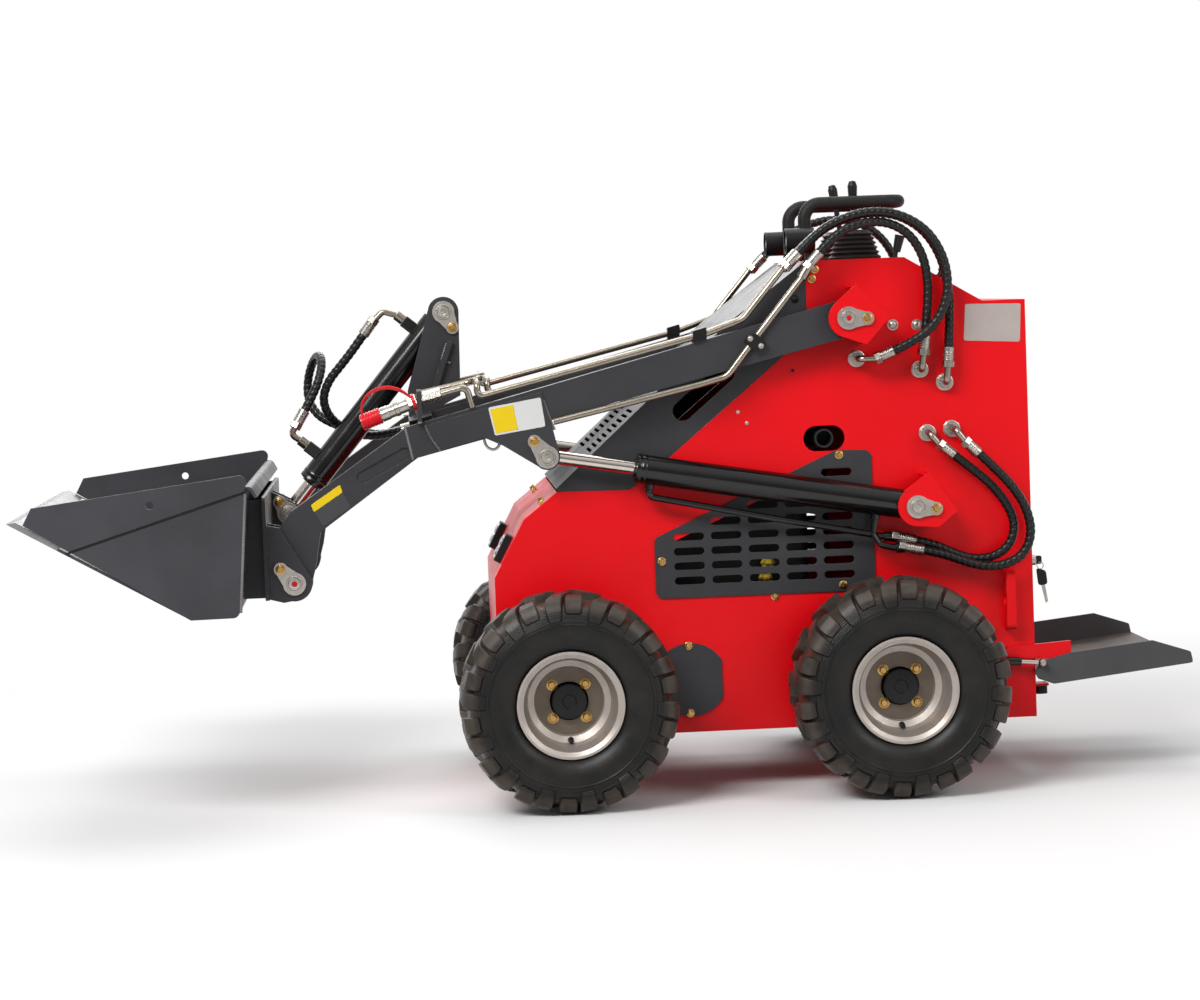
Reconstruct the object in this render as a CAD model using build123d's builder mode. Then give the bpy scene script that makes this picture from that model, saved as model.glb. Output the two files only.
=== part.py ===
from build123d import *
import math
import os

os.makedirs("parts", exist_ok=True)

# Stand-on skid steer loader with a lifting arm, a tilting bucket and a sprung rear platform.
# Millimetres. +X is forward, +Y is the machine's left, +Z is up, the ground is Z = 0.

# Wheels
WHEELBASE = 690.0
FRONT_AXLE_X = 110.0
TYRE_R = 228.0
TYRE_W = 208.0
TYRE_GAP = 38.0
RIM_R = 111.0
RIM_SEAT_R = 101.0
RIM_W = 180.0
RIM_DISC_INSET = 83.0
RIM_DISC_T = 8.0
HUB_R = 36.0
HUB_BORE_R = 33.0
STUB_R = 20.0
HOUSING_R = 55.0
SEAT_GAP = 0.3
RUN_GAP = 0.05
PISTON_GAP = 0.4

# Body
BODY_HALF = 281.0
SIDE_T = 8.0
PANEL_T = 5.0
SHEET_T = 4.0
BODY_REAR_X = -895.0
BODY_FRONT_X = 250.0
BODY_BOTTOM_Z = 130.0
CHIN_X = 50.0
CHIN_Z = 60.0
FRONT_BREAK_Z = 475.0
FRONT_MID = (184.0, 596.0)
FRONT_TOP = (112.0, 652.0)
CONSOLE_FRONT_X = -430.0
CONSOLE_TOP_Z = 1118.0
CONSOLE_SLOPE_X = -640.0
LEDGE_X = -804.0
LEDGE_Z = 1020.0
HOOD_SEAM = [(-41.0, 650.0), (-62.0, 662.0), (-137.0, 722.0), (-376.0, 918.0), (-430.0, 962.0)]
HOOD_NOSE = (113.0, 659.0)
HOOD_KNEE = (-262.0, 993.0)
HOOD_DROP = 2.0
HOOD_T = 3.0
HOOD_SEAM_GAP = 0.4

# Arm, cylinders and their pivots, each given as (X, Z)
ARM_GAP = 21.0
ARM_T = 40.0
ARM_R = 39.0
CHEEK_T = 8.0
ARM_PIVOT = (-506.0, 995.0)
LIFT_BASE = (-639.0, 595.0)
LIFT_EYE = (132.0, 730.0)
BUCKET_PIVOT = (667.0, 489.0)
TILT_BASE = (332.0, 1038.0)
TILT_EYE = (686.0, 615.0)
KNEE_TOP = (421.0, 804.0)
KNEE_LOW = (401.0, 739.0)
PIN_R = 15.0
KEEPER_T = 6.0
KEEPER_RIM = 9.0
KEEPER_BOLT_R = 14.0
BRACKET_R = 41.0
BRACKET_T = 12.0
BRACKET_GAP = 16.0
BRACKET_WEB_T = 10.0
CROSS_DEPTH = 50.0
CROSS_H = 56.0
CROSS_BACK = 2.0
CROSS_LIFT = 20.0
CROSS_WALL = 6.0
TOWER_R = 33.0
TOWER_T = 12.0
TOWER_IN_Y = 36.0
LUG_R = 27.0
LIFT_BARREL_R = 31.0
LIFT_BORE_R = 26.0
LIFT_ROD_R = 14.0
LIFT_BARREL_LEN = 593.0
LIFT_ROD_LEN = 565.0
LIFT_EYE_W = 34.0
TILT_BARREL_R = 30.0
TILT_BORE_R = 25.0
TILT_ROD_R = 15.0
TILT_BARREL_LEN = 469.0
TILT_ROD_LEN = 310.0
TILT_EYE_W = 40.0
ROD_EYE_R = 22.0

# Bucket and its quick attach plate
BUCKET_HALF = 536.0
BUCKET_T = 6.0
EDGE_T = 12.0
EDGE_W = 115.0
ATTACH_X = 720.0
ATTACH_T = 8.0
ATTACH_MARGIN = 14.0
ATTACH_LOW_Z = 456.0
ATTACH_TOP_Z = 672.0
EAR_T = 10.0
EAR_GAP = 6.0
EAR_R = 37.0

# Platform
PLATFORM_GAP = 14.5
PLATFORM_WALL = 6.0
PLATFORM_T = 4.0

# Hydraulic lines
HOSE_R = 9.5
PIPE_R = 7.0
FERRULE_R = 11.5
NUT_R = 11.0
BANJO_R = 17.0
BANJO_OUT = 12.0
ELBOW_BEND_R = 11.0

# Places that follow from the sizes above
TYRE_OUT_Y = BODY_HALF + TYRE_GAP + TYRE_W
ARM_Y = BODY_HALF + ARM_GAP + ARM_T / 2
BRACKET_IN_Y = ARM_Y + ARM_T / 2 + BRACKET_GAP
PLATFORM_HALF = BODY_HALF + PLATFORM_GAP
HOOD_REAR_Z = CONSOLE_TOP_Z - HOOD_DROP
ATTACH_HALF = ARM_Y + ARM_T / 2 + EAR_GAP + EAR_T + ATTACH_MARGIN

# Hoses, each a route of points from its moving end to its fixed end
HOSES = {
    "arm_hose_inner": [
        (-407, 312, 1132), (-448, 311, 1172), (-503, 310, 1201), (-566, 309, 1215),
        (-628, 309, 1207), (-682, 309, 1172), (-715, 310, 1116), (-728, 311, 1051),
        (-728.5, 312, 986), (-724, 312, 921),
    ],
    "arm_hose_outer": [
        (-407, 336, 1132), (-449, 337, 1175), (-505, 339, 1204), (-568, 341, 1217),
        (-630, 343, 1206), (-684, 344, 1170), (-716, 345, 1112), (-723, 345, 1048),
        (-704, 343, 989), (-658, 338, 944), (-600, 334, 921),
    ],
    "arm_hose_side": [
        (-450, 349.3, 1131), (-486, 349, 1170), (-538, 345, 1192), (-594, 338, 1194),
        (-642, 330, 1170), (-673, 323, 1125), (-684, 318, 1068), (-681, 316, 1008),
        (-674, 316, 948),
    ],
    "lift_hose_front": [
        (-637, 316, 521), (-679, 316, 511), (-720, 316, 490), (-764, 316, 475),
        (-809, 316, 479), (-843, 316, 504), (-854, 316, 546), (-838, 316, 590),
        (-803, 316, 635), (-762, 316, 670), (-725, 316, 700),
    ],
    "lift_hose_rear": [
        (-649, 338, 502), (-692, 338, 493), (-735, 338, 475), (-780, 338, 461),
        (-826, 338, 462), (-866, 338, 482), (-885, 338, 524), (-877, 338, 576),
        (-850, 338, 624), (-812, 338, 666), (-774, 338, 703),
    ],
    "tilt_hose_upper": [
        (505, 0, 998), (532, -1, 962), (560, -3, 929), (588, -7, 897), (603, -14, 857),
        (590, -29, 817), (557, -48, 788), (515, -61, 772), (471.5, -64, 771.6), (429.7, -64, 781.6),
    ],
    "tilt_hose_lower": [
        (644, 0, 832), (622, -6, 868), (604, -16, 912), (601, -50, 944), (610, -96, 955),
        (625, -138, 936), (637, -158, 899), (639, -154, 856), (620, -138, 820), (585, -120, 799),
        (545, -105, 786), (508, -96, 776), (471.5, -92, 771.6), (429.7, -92, 781.6),
    ],
}


def at_y(y):
    """Side-view sketch plane: sketch x is +X, sketch y is +Z, extrusion runs towards -Y."""
    return Plane.XZ.offset(-y)


def save(builder, name):
    builder.part.label = name
    export_step(builder.part, f"parts/{name}.step")


def toward(start, end):
    """Unit vector from one side-view point to another."""
    length = math.dist(start, end)
    return ((end[0] - start[0]) / length, (end[1] - start[1]) / length)


def along(start, end, distance, side=0.0):
    """Point at a distance from start on the way to end, moved sideways (upwards is positive)."""
    ux, uz = toward(start, end)
    return (start[0] + ux * distance - uz * side, start[1] + uz * distance + ux * side)


def slot_between(start, end, height):
    """Round-ended slot in the open sketch, with the centres of its ends at two points."""
    ux, uz = toward(start, end)
    with Locations(((start[0] + end[0]) / 2, (start[1] + end[1]) / 2)):
        SlotCenterToCenter(
            math.dist(start, end), height, rotation=math.degrees(math.atan2(uz, ux))
        )


def cylinder_plane(start, end, distance, y):
    """Plane across a side-view axis, its normal running from start to end."""
    ux, uz = toward(start, end)
    x, z = along(start, end, distance)
    return Plane(origin=(x, y, z), x_dir=(0, 1, 0), z_dir=(ux, 0, uz))


def hose_radii(points):
    """Bend radius at each corner of a route, as large as its two runs allow."""
    radii = []
    for before, corner, after in zip(points, points[1:], points[2:]):
        first = Vector(*corner) - Vector(*before)
        second = Vector(*after) - Vector(*corner)
        half_turn = math.radians(first.get_angle(second)) / 2
        radii.append(0.45 * min(first.length, second.length) / math.tan(half_turn))
    return radii


def tube(points, radius, radii):
    """Round bar or hose along a route of straight runs and tangent arcs."""
    with BuildLine() as route:
        FilletPolyline(*points, radius=radii)
    start = route.line @ 0
    with BuildSketch(Plane(origin=start, z_dir=route.line % 0)) as section:
        Circle(radius)
    return sweep(section.sketch, path=route.line)


def straight(start, end, radius):
    """Round bar between two points."""
    axis = Vector(*end) - Vector(*start)
    with BuildPart() as piece:
        with BuildSketch(Plane(origin=start, z_dir=axis)):
            Circle(radius)
        extrude(amount=axis.length)
    return piece.part


def lead_in(points, length):
    """Point before a hose's first point, in line with its first run."""
    start = Vector(*points[0])
    back = start - Vector(*points[1])
    return tuple(start + back.normalized() * length)


# Wheels: tyre, and rim with its hub
rim_lip_y = TYRE_OUT_Y - (TYRE_W - RIM_W) / 2
rim_in_y = rim_lip_y - RIM_W
disc_y = rim_lip_y - RIM_DISC_INSET
tyre_in_y = TYRE_OUT_Y - TYRE_W
tyre_mid_y = TYRE_OUT_Y - TYRE_W / 2
hub_back_y = disc_y - 36.0
REAR_AXLE_X = FRONT_AXLE_X - WHEELBASE


def wheel_plane(axle_x):
    """Half-section plane of a wheel: sketch x is +Y, sketch y is the radius."""
    return Plane(origin=(axle_x, 0, TYRE_R), x_dir=(0, 1, 0), z_dir=(1, 0, 0))


def axle_line(axle_x):
    return Axis((axle_x, 0, TYRE_R), (0, 1, 0))


bead_r = RIM_SEAT_R + SEAT_GAP
flange_t = 6.0
bead_out = rim_lip_y - flange_t - SEAT_GAP
bead_in = rim_in_y + flange_t + SEAT_GAP
sidewall_r = 0.72 * TYRE_R
shoulder_r = TYRE_R - 14
tread_half = TYRE_W / 2 - 24

for end, axle_x in (("front", FRONT_AXLE_X), ("rear", REAR_AXLE_X)):
    with BuildPart() as tyre:
        with BuildSketch(wheel_plane(axle_x)):
            with BuildLine():
                Line((bead_in, bead_r), (bead_out, bead_r))
                Line((bead_out, bead_r), (bead_out, RIM_R + 2))
                ThreePointArc(
                    (bead_out, RIM_R + 2), (TYRE_OUT_Y, sidewall_r), (TYRE_OUT_Y - 10, shoulder_r)
                )
                Line((TYRE_OUT_Y - 10, shoulder_r), (tyre_mid_y + tread_half, TYRE_R - 3))
                ThreePointArc(
                    (tyre_mid_y + tread_half, TYRE_R - 3),
                    (tyre_mid_y, TYRE_R),
                    (tyre_mid_y - tread_half, TYRE_R - 3),
                )
                Line((tyre_mid_y - tread_half, TYRE_R - 3), (tyre_in_y + 10, shoulder_r))
                ThreePointArc(
                    (tyre_in_y + 10, shoulder_r), (tyre_in_y, sidewall_r), (bead_in, RIM_R + 2)
                )
                Line((bead_in, RIM_R + 2), (bead_in, bead_r))
            make_face()
        revolve(axis=axle_line(axle_x))
    save(tyre, f"{end}_left_tyre")
    with BuildPart() as far_tyre:
        mirror(tyre.part, about=Plane.XZ)
    save(far_tyre, f"{end}_right_tyre")

    with BuildPart() as rim:
        with BuildSketch(wheel_plane(axle_x)):
            with BuildLine():
                Polyline(
                    (rim_lip_y, RIM_R),
                    (rim_lip_y - 4, RIM_R),
                    (rim_lip_y - flange_t, RIM_SEAT_R),
                    (rim_lip_y - 18, RIM_SEAT_R),
                    (rim_lip_y - 36, RIM_SEAT_R - 8),
                    (rim_in_y + 36, RIM_SEAT_R - 8),
                    (rim_in_y + 18, RIM_SEAT_R),
                    (rim_in_y + flange_t, RIM_SEAT_R),
                    (rim_in_y + 4, RIM_R),
                    (rim_in_y, RIM_R),
                    (rim_in_y, RIM_R - 5),
                    (rim_in_y + 5, RIM_SEAT_R - 4),
                    (rim_in_y + 16, RIM_SEAT_R - 5),
                    (rim_in_y + 38, RIM_SEAT_R - 12),
                    (disc_y - RIM_DISC_T, RIM_SEAT_R - 12),
                    (disc_y - RIM_DISC_T, HUB_BORE_R),
                    (disc_y, HUB_BORE_R),
                    (disc_y, RIM_SEAT_R - 31),
                    (disc_y + 8, RIM_SEAT_R - 28),
                    (disc_y + 14, RIM_SEAT_R - 15),
                    (rim_lip_y - 41, RIM_SEAT_R - 12),
                    (rim_lip_y - 16, RIM_SEAT_R - 5),
                    (rim_lip_y - 5, RIM_SEAT_R - 4),
                    (rim_lip_y, RIM_R - 5),
                    close=True,
                )
            make_face()
        revolve(axis=axle_line(axle_x))
        with BuildSketch(wheel_plane(axle_x)):
            with BuildLine():
                Polyline(
                    (hub_back_y, STUB_R + RUN_GAP),
                    (hub_back_y, RIM_SEAT_R - 39),
                    (disc_y - RIM_DISC_T - SEAT_GAP, RIM_SEAT_R - 39),
                    (disc_y - RIM_DISC_T - SEAT_GAP, HUB_BORE_R - SEAT_GAP),
                    (disc_y + SEAT_GAP, HUB_BORE_R - SEAT_GAP),
                    (disc_y + SEAT_GAP, HUB_R),
                    (disc_y + 10, HUB_R),
                    (disc_y + 13, HUB_R - 4),
                    (disc_y + 13, 0),
                    (disc_y - 6, 0),
                    (disc_y - 6, STUB_R + RUN_GAP),
                    close=True,
                )
            make_face()
        revolve(axis=axle_line(axle_x))
    save(rim, f"{end}_left_rim")
    with BuildPart() as far_rim:
        mirror(rim.part, about=Plane.XZ)
    save(far_rim, f"{end}_right_rim")

# Drive housings with the stub shafts that carry the wheels
with BuildPart() as wheel_drives:
    for axle_x in (FRONT_AXLE_X, REAR_AXLE_X):
        with BuildSketch(wheel_plane(axle_x)):
            with BuildLine():
                Polyline(
                    (BODY_HALF, 0),
                    (BODY_HALF, HOUSING_R + 20),
                    (BODY_HALF + 10, HOUSING_R + 20),
                    (BODY_HALF + 14, HOUSING_R),
                    (hub_back_y - 16, HOUSING_R - 6),
                    (hub_back_y - 10, STUB_R + 8),
                    (hub_back_y - 2, STUB_R + 8),
                    (hub_back_y - 2, STUB_R),
                    (disc_y - 8, STUB_R),
                    (disc_y - 8, 0),
                    close=True,
                )
            make_face()
        revolve(axis=axle_line(axle_x))
    mirror(about=Plane.XZ)
save(wheel_drives, "wheel_drives")

# Body side plates with their hoop for a tie-down hook
side_outline = [
    (BODY_FRONT_X - CHIN_X, BODY_BOTTOM_Z),
    (BODY_FRONT_X, BODY_BOTTOM_Z + CHIN_Z),
    (BODY_FRONT_X, FRONT_BREAK_Z),
    FRONT_MID,
    FRONT_TOP,
    *HOOD_SEAM,
    (CONSOLE_FRONT_X, CONSOLE_TOP_Z),
    (CONSOLE_SLOPE_X, CONSOLE_TOP_Z),
    (LEDGE_X, LEDGE_Z),
    (BODY_REAR_X, LEDGE_Z),
    (BODY_REAR_X, BODY_BOTTOM_Z),
]
GRILLE = [(-90.0, 417.0), (-90.0, 545.0), (-482.0, 716.0), (-557.0, 714.0), (-557.0, 416.0)]
GRILLE_T = 4.0
GRILLE_MARGIN = 24.0
GRILLE_CORNER_R = 16.0
SLOT_L = 65.0
SLOT_H = 16.0
SLOT_PITCH_X = 79.5
SLOT_PITCH_Z = 31.0
SLOT_FIRST = (-163.0, 453.0)
SLOT_EDGE = 5.0
SLOT_COLUMNS = 5
SLOT_ROWS = 9
EXHAUST = (-458.0, 742.0)
EXHAUST_HOLE_L = 88.0
EXHAUST_HOLE_H = 54.0
EXHAUST_PIPE_R = 20.0
EXHAUST_BORE_R = 16.0
EXHAUST_BORE_L = 60.0
EXHAUST_BEND_R = 35.0
LOOP_X = -840.0
LOOP_LOW_Z = 322.0
LOOP_TOP_Z = 448.0
LOOP_OUT = 42.0
LOOP_T = 20.0
LOOP_CORNER_R = 14.0
LOOP_HOLE_R = 14.0

with BuildPart() as side_plate:
    with BuildSketch(at_y(BODY_HALF)):
        with BuildLine():
            Polyline(*side_outline, close=True)
        make_face()
        with BuildLine():
            Polyline(*GRILLE, close=True)
        offset(make_face(mode=Mode.PRIVATE), amount=-GRILLE_MARGIN, mode=Mode.SUBTRACT)
        with Locations(ARM_PIVOT, LIFT_BASE):
            Circle(PIN_R + SEAT_GAP, mode=Mode.SUBTRACT)
    extrude(amount=SIDE_T)
    with BuildSketch(Plane.YZ.offset(LOOP_X - LOOP_T / 2)):
        with Locations((BODY_HALF + LOOP_OUT / 2, (LOOP_LOW_Z + LOOP_TOP_Z) / 2)):
            lug = Rectangle(LOOP_OUT, LOOP_TOP_Z - LOOP_LOW_Z)
        fillet(lug.vertices().group_by(Axis.X)[-1], LOOP_CORNER_R)
        with Locations((BODY_HALF + LOOP_OUT / 2, (LOOP_LOW_Z + LOOP_TOP_Z) / 2)):
            Circle(LOOP_HOLE_R, mode=Mode.SUBTRACT)
    extrude(amount=LOOP_T)

with BuildPart() as left_side_plate:
    add(side_plate.part)
    with BuildSketch(at_y(BODY_HALF)):
        with Locations(EXHAUST):
            SlotOverall(EXHAUST_HOLE_L, EXHAUST_HOLE_H)
    extrude(amount=SIDE_T, mode=Mode.SUBTRACT)
save(left_side_plate, "left_side_plate")

with BuildPart() as right_side_plate:
    mirror(side_plate.part, about=Plane.XZ)
save(right_side_plate, "right_side_plate")

# Slotted vent plates and round access covers on the body sides
COVER = (-157.0, 242.0)
COVER_R = 78.0
COVER_FLAT_X = -224.0


def grille_roof(x):
    """Height of the vent plate's sloping top edge."""
    front, rear = GRILLE[1], GRILLE[2]
    return front[1] + min(1.0, (front[0] - x) / (front[0] - rear[0])) * (rear[1] - front[1])


with BuildPart() as side_covers:
    with BuildSketch(at_y(BODY_HALF + GRILLE_T)):
        with BuildLine():
            Polyline(*GRILLE, close=True)
        plate = make_face()
        fillet(plate.vertices(), GRILLE_CORNER_R)
        for column in range(SLOT_COLUMNS):
            for row in range(SLOT_ROWS):
                x = SLOT_FIRST[0] - column * SLOT_PITCH_X
                z = SLOT_FIRST[1] + row * SLOT_PITCH_Z
                if z + SLOT_H / 2 + SLOT_EDGE < grille_roof(x + SLOT_L / 2 - SLOT_H / 2):
                    with Locations((x, z)):
                        SlotOverall(SLOT_L, SLOT_H, mode=Mode.SUBTRACT)
    extrude(amount=GRILLE_T)
    with BuildSketch(at_y(BODY_HALF + GRILLE_T)):
        with Locations(COVER):
            Circle(COVER_R)
        with Locations((COVER_FLAT_X - COVER_R, COVER[1])):
            Rectangle(2 * COVER_R, 3 * COVER_R, mode=Mode.SUBTRACT)
    extrude(amount=GRILLE_T)
    mirror(about=Plane.XZ)
save(side_covers, "side_covers")

# Floor, folded front panel, rear panel and console sheet between the side plates
inside_half = BODY_HALF - SIDE_T

chin_inset = PANEL_T * CHIN_Z / math.hypot(CHIN_X, CHIN_Z)
belly_front = BODY_FRONT_X - CHIN_X - chin_inset - SEAT_GAP
belly_rear = BODY_REAR_X + PANEL_T

with BuildPart() as belly_plate:
    with BuildSketch(Plane.XY.offset(BODY_BOTTOM_Z)):
        with Locations(((belly_front + belly_rear) / 2, 0)):
            Rectangle(belly_front - belly_rear, 2 * inside_half)
    extrude(amount=PANEL_T)
save(belly_plate, "belly_plate")

with BuildPart() as front_panel:
    with BuildSketch(at_y(inside_half)):
        with BuildLine():
            Polyline(
                (BODY_FRONT_X - CHIN_X, BODY_BOTTOM_Z),
                (BODY_FRONT_X, BODY_BOTTOM_Z + CHIN_Z),
                (BODY_FRONT_X, FRONT_BREAK_Z),
                FRONT_MID,
                FRONT_TOP,
            )
            offset(amount=PANEL_T, side=Side.LEFT)
        make_face()
    extrude(amount=2 * inside_half)
save(front_panel, "front_panel")

with BuildPart() as console_top:
    with BuildSketch(at_y(inside_half)):
        with BuildLine():
            Polyline(
                (CONSOLE_FRONT_X, HOOD_SEAM[-1][1]),
                (CONSOLE_FRONT_X, CONSOLE_TOP_Z),
                (CONSOLE_SLOPE_X, CONSOLE_TOP_Z),
                (LEDGE_X, LEDGE_Z),
                (BODY_REAR_X, LEDGE_Z),
            )
            offset(amount=SHEET_T, side=Side.LEFT)
        make_face()
    extrude(amount=2 * inside_half)
save(console_top, "console_top")

BUFFER_INSET = 46.0
BUFFER_Y = BODY_HALF - BUFFER_INSET
BUFFER_X = -913.0
BUFFER_SHELF_Z = 196.0
BUFFER_R = 15.0
BUFFER_H = 18.0

with BuildPart() as rear_panel:
    with BuildSketch(Plane.YZ.offset(BODY_REAR_X)):
        with Locations((0, (BODY_BOTTOM_Z + LEDGE_Z - SHEET_T) / 2)):
            Rectangle(2 * inside_half, LEDGE_Z - SHEET_T - BODY_BOTTOM_Z)
    extrude(amount=PANEL_T)
    for y in (BUFFER_Y, -BUFFER_Y):
        with Locations(((BUFFER_X - BUFFER_R + BODY_REAR_X) / 2, y, BUFFER_SHELF_Z)):
            Box(
                BODY_REAR_X - BUFFER_X + BUFFER_R,
                2 * BUFFER_R + 10,
                PANEL_T,
                align=(Align.CENTER, Align.CENTER, Align.MAX),
            )
save(rear_panel, "rear_panel")

# Engine hood: folded sheet, open underneath and behind
hood_low = [
    (HOOD_NOSE[0] - 4, FRONT_TOP[1] + HOOD_SEAM_GAP),
    *[(x, z + HOOD_SEAM_GAP) for x, z in HOOD_SEAM[:-1]],
    (CONSOLE_FRONT_X + HOOD_SEAM_GAP, HOOD_SEAM[-1][1] + HOOD_SEAM_GAP),
]
hood_top = [(CONSOLE_FRONT_X + HOOD_SEAM_GAP, HOOD_REAR_Z), HOOD_KNEE, HOOD_NOSE]
hood_rear_l = math.dist(HOOD_KNEE, hood_top[0])
hood_front_l = math.dist(HOOD_NOSE, HOOD_KNEE)
hood_inside = [
    along(HOOD_KNEE, hood_top[0], hood_rear_l + 4 * HOOD_T, HOOD_T),
    along(HOOD_NOSE, HOOD_KNEE, hood_front_l, HOOD_T),
    along(HOOD_NOSE, HOOD_KNEE, 2 * HOOD_T, HOOD_T),
]
HOOD_SLOTS = 9
HOOD_SLOT_L = 150.0
HOOD_SLOT_W = 7.0
HOOD_SLOT_PITCH = 15.0
HOOD_SLOT_START = 108.0
HOOD_SLOT_Y = 130.0
HAND_SLOT = [(-160.0, 812.0), (-252.0, 889.0)]
HAND_SLOT_H = 42.0

with BuildPart() as engine_hood:
    with BuildSketch(at_y(BODY_HALF)):
        with BuildLine():
            Polyline(*hood_low, *hood_top, close=True)
        make_face()
    extrude(amount=2 * BODY_HALF)
    with BuildSketch(at_y(BODY_HALF - HOOD_T)):
        with BuildLine():
            Polyline(
                (hood_inside[-1][0], FRONT_MID[1]),
                (hood_inside[0][0], FRONT_MID[1]),
                *hood_inside,
                close=True,
            )
        make_face()
    extrude(amount=2 * (BODY_HALF - HOOD_T), mode=Mode.SUBTRACT)
    hood_dir = toward(HOOD_NOSE, HOOD_KNEE)
    for index in range(HOOD_SLOTS):
        x, z = along(HOOD_NOSE, HOOD_KNEE, HOOD_SLOT_START + index * HOOD_SLOT_PITCH)
        plane = Plane(
            origin=(x, 0, z), x_dir=(0, 1, 0), z_dir=(hood_dir[1], 0, -hood_dir[0])
        )
        with BuildSketch(plane):
            with Locations((HOOD_SLOT_Y, 0), (-HOOD_SLOT_Y, 0)):
                SlotOverall(HOOD_SLOT_L, HOOD_SLOT_W)
        extrude(amount=-4 * HOOD_T, both=True, mode=Mode.SUBTRACT)
    with BuildSketch(at_y(BODY_HALF)):
        slot_between(*HAND_SLOT, HAND_SLOT_H)
    extrude(amount=2 * BODY_HALF, mode=Mode.SUBTRACT)
save(engine_hood, "engine_hood")

# Engine block on its mounting rails, with the exhaust outlet at the left vent
ENGINE_X = (-430.0, -70.0)
ENGINE_HALF = 190.0
ENGINE_Z = (250.0, 660.0)

exhaust_pipe = tube(
    [
        (EXHAUST[0] + 90, 150, ENGINE_Z[1] - 40),
        (EXHAUST[0] + 90, 150, EXHAUST[1]),
        (EXHAUST[0], 200, EXHAUST[1]),
        (EXHAUST[0], BODY_HALF - 2, EXHAUST[1]),
    ],
    EXHAUST_PIPE_R,
    EXHAUST_BEND_R,
)

with BuildPart() as engine:
    with Locations(((ENGINE_X[0] + ENGINE_X[1]) / 2, 0, ENGINE_Z[0])):
        Box(
            ENGINE_X[1] - ENGINE_X[0],
            2 * ENGINE_HALF,
            ENGINE_Z[1] - ENGINE_Z[0],
            align=(Align.CENTER, Align.CENTER, Align.MIN),
        )
    fillet(engine.edges().filter_by(Axis.Z), 25)
    rail_z = BODY_BOTTOM_Z + PANEL_T + SEAT_GAP
    for y in (-130, 130):
        with Locations(((ENGINE_X[0] + ENGINE_X[1]) / 2, y, rail_z)):
            Box(
                ENGINE_X[1] - ENGINE_X[0] - 60,
                60,
                ENGINE_Z[0] - rail_z,
                align=(Align.CENTER, Align.CENTER, Align.MIN),
            )
    add(exhaust_pipe)
    with BuildSketch(at_y(BODY_HALF - 2)):
        with Locations(EXHAUST):
            Circle(EXHAUST_BORE_R)
    extrude(amount=EXHAUST_BORE_L, mode=Mode.SUBTRACT)
save(engine, "engine")

# Outboard brackets that carry the arm and lift cylinder pins
ARM_BRACKET = [(-480.0, 1027.0), (-524.0, 1066.0), (-593.0, 994.0), (-543.0, 938.0), (-492.0, 957.0)]
LIFT_BRACKET = [(-612.0, 629.0), (-664.0, 666.0), (-724.0, 584.0), (-682.0, 550.0), (-627.0, 555.0)]

with BuildPart() as pivot_brackets:
    for outline, pivot in ((ARM_BRACKET, ARM_PIVOT), (LIFT_BRACKET, LIFT_BASE)):
        with BuildSketch(at_y(BRACKET_IN_Y + BRACKET_T)):
            with BuildLine():
                Polyline(*outline, close=True)
            make_face()
            with Locations(pivot):
                Circle(BRACKET_R)
                Circle(PIN_R + SEAT_GAP, mode=Mode.SUBTRACT)
        extrude(amount=BRACKET_T)
        with BuildSketch(at_y(BRACKET_IN_Y)):
            with BuildLine():
                Polyline(*outline[1:4])
                offset(amount=BRACKET_WEB_T, side=Side.LEFT)
            make_face()
        extrude(amount=BRACKET_IN_Y - BODY_HALF)
    mirror(about=Plane.XZ)
save(pivot_brackets, "pivot_brackets")


def keeper_pin(pin, bolt, inner_y, face_y, radius):
    """Pin seen end on, with the teardrop keeper plate that lies on the outer face."""
    with BuildPart() as piece:
        with BuildSketch(at_y(face_y)):
            with Locations(pin):
                Circle(radius)
        extrude(amount=face_y - inner_y)
        with BuildSketch(at_y(face_y + KEEPER_T)):
            with Locations(pin):
                Circle(radius + KEEPER_RIM)
            with Locations(bolt):
                Circle(KEEPER_BOLT_R)
            wide = radius + KEEPER_RIM - 1
            narrow = KEEPER_BOLT_R - 1
            length = math.dist(pin, bolt)
            with BuildLine():
                Polyline(
                    along(pin, bolt, 0, wide),
                    along(pin, bolt, length, narrow),
                    along(pin, bolt, length, -narrow),
                    along(pin, bolt, 0, -wide),
                    close=True,
                )
            make_face()
        extrude(amount=KEEPER_T)
    return piece.part


bracket_face = BRACKET_IN_Y + BRACKET_T
arm_in = ARM_Y - ARM_T / 2
arm_out = ARM_Y + ARM_T / 2
cheek_out = arm_out + CHEEK_T
cheek_in = arm_in - CHEEK_T
ear_in = arm_out + EAR_GAP
ear_out = ear_in + EAR_T

arm_pin = keeper_pin(ARM_PIVOT, (-545.0, 993.0), inside_half, bracket_face, PIN_R)
lift_pin = keeper_pin(LIFT_BASE, (-677.0, 590.0), inside_half, bracket_face, PIN_R)

with BuildPart() as chassis_pins:
    add(arm_pin)
    add(lift_pin)
    mirror(about=Plane.XZ)
save(chassis_pins, "chassis_pins")

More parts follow.
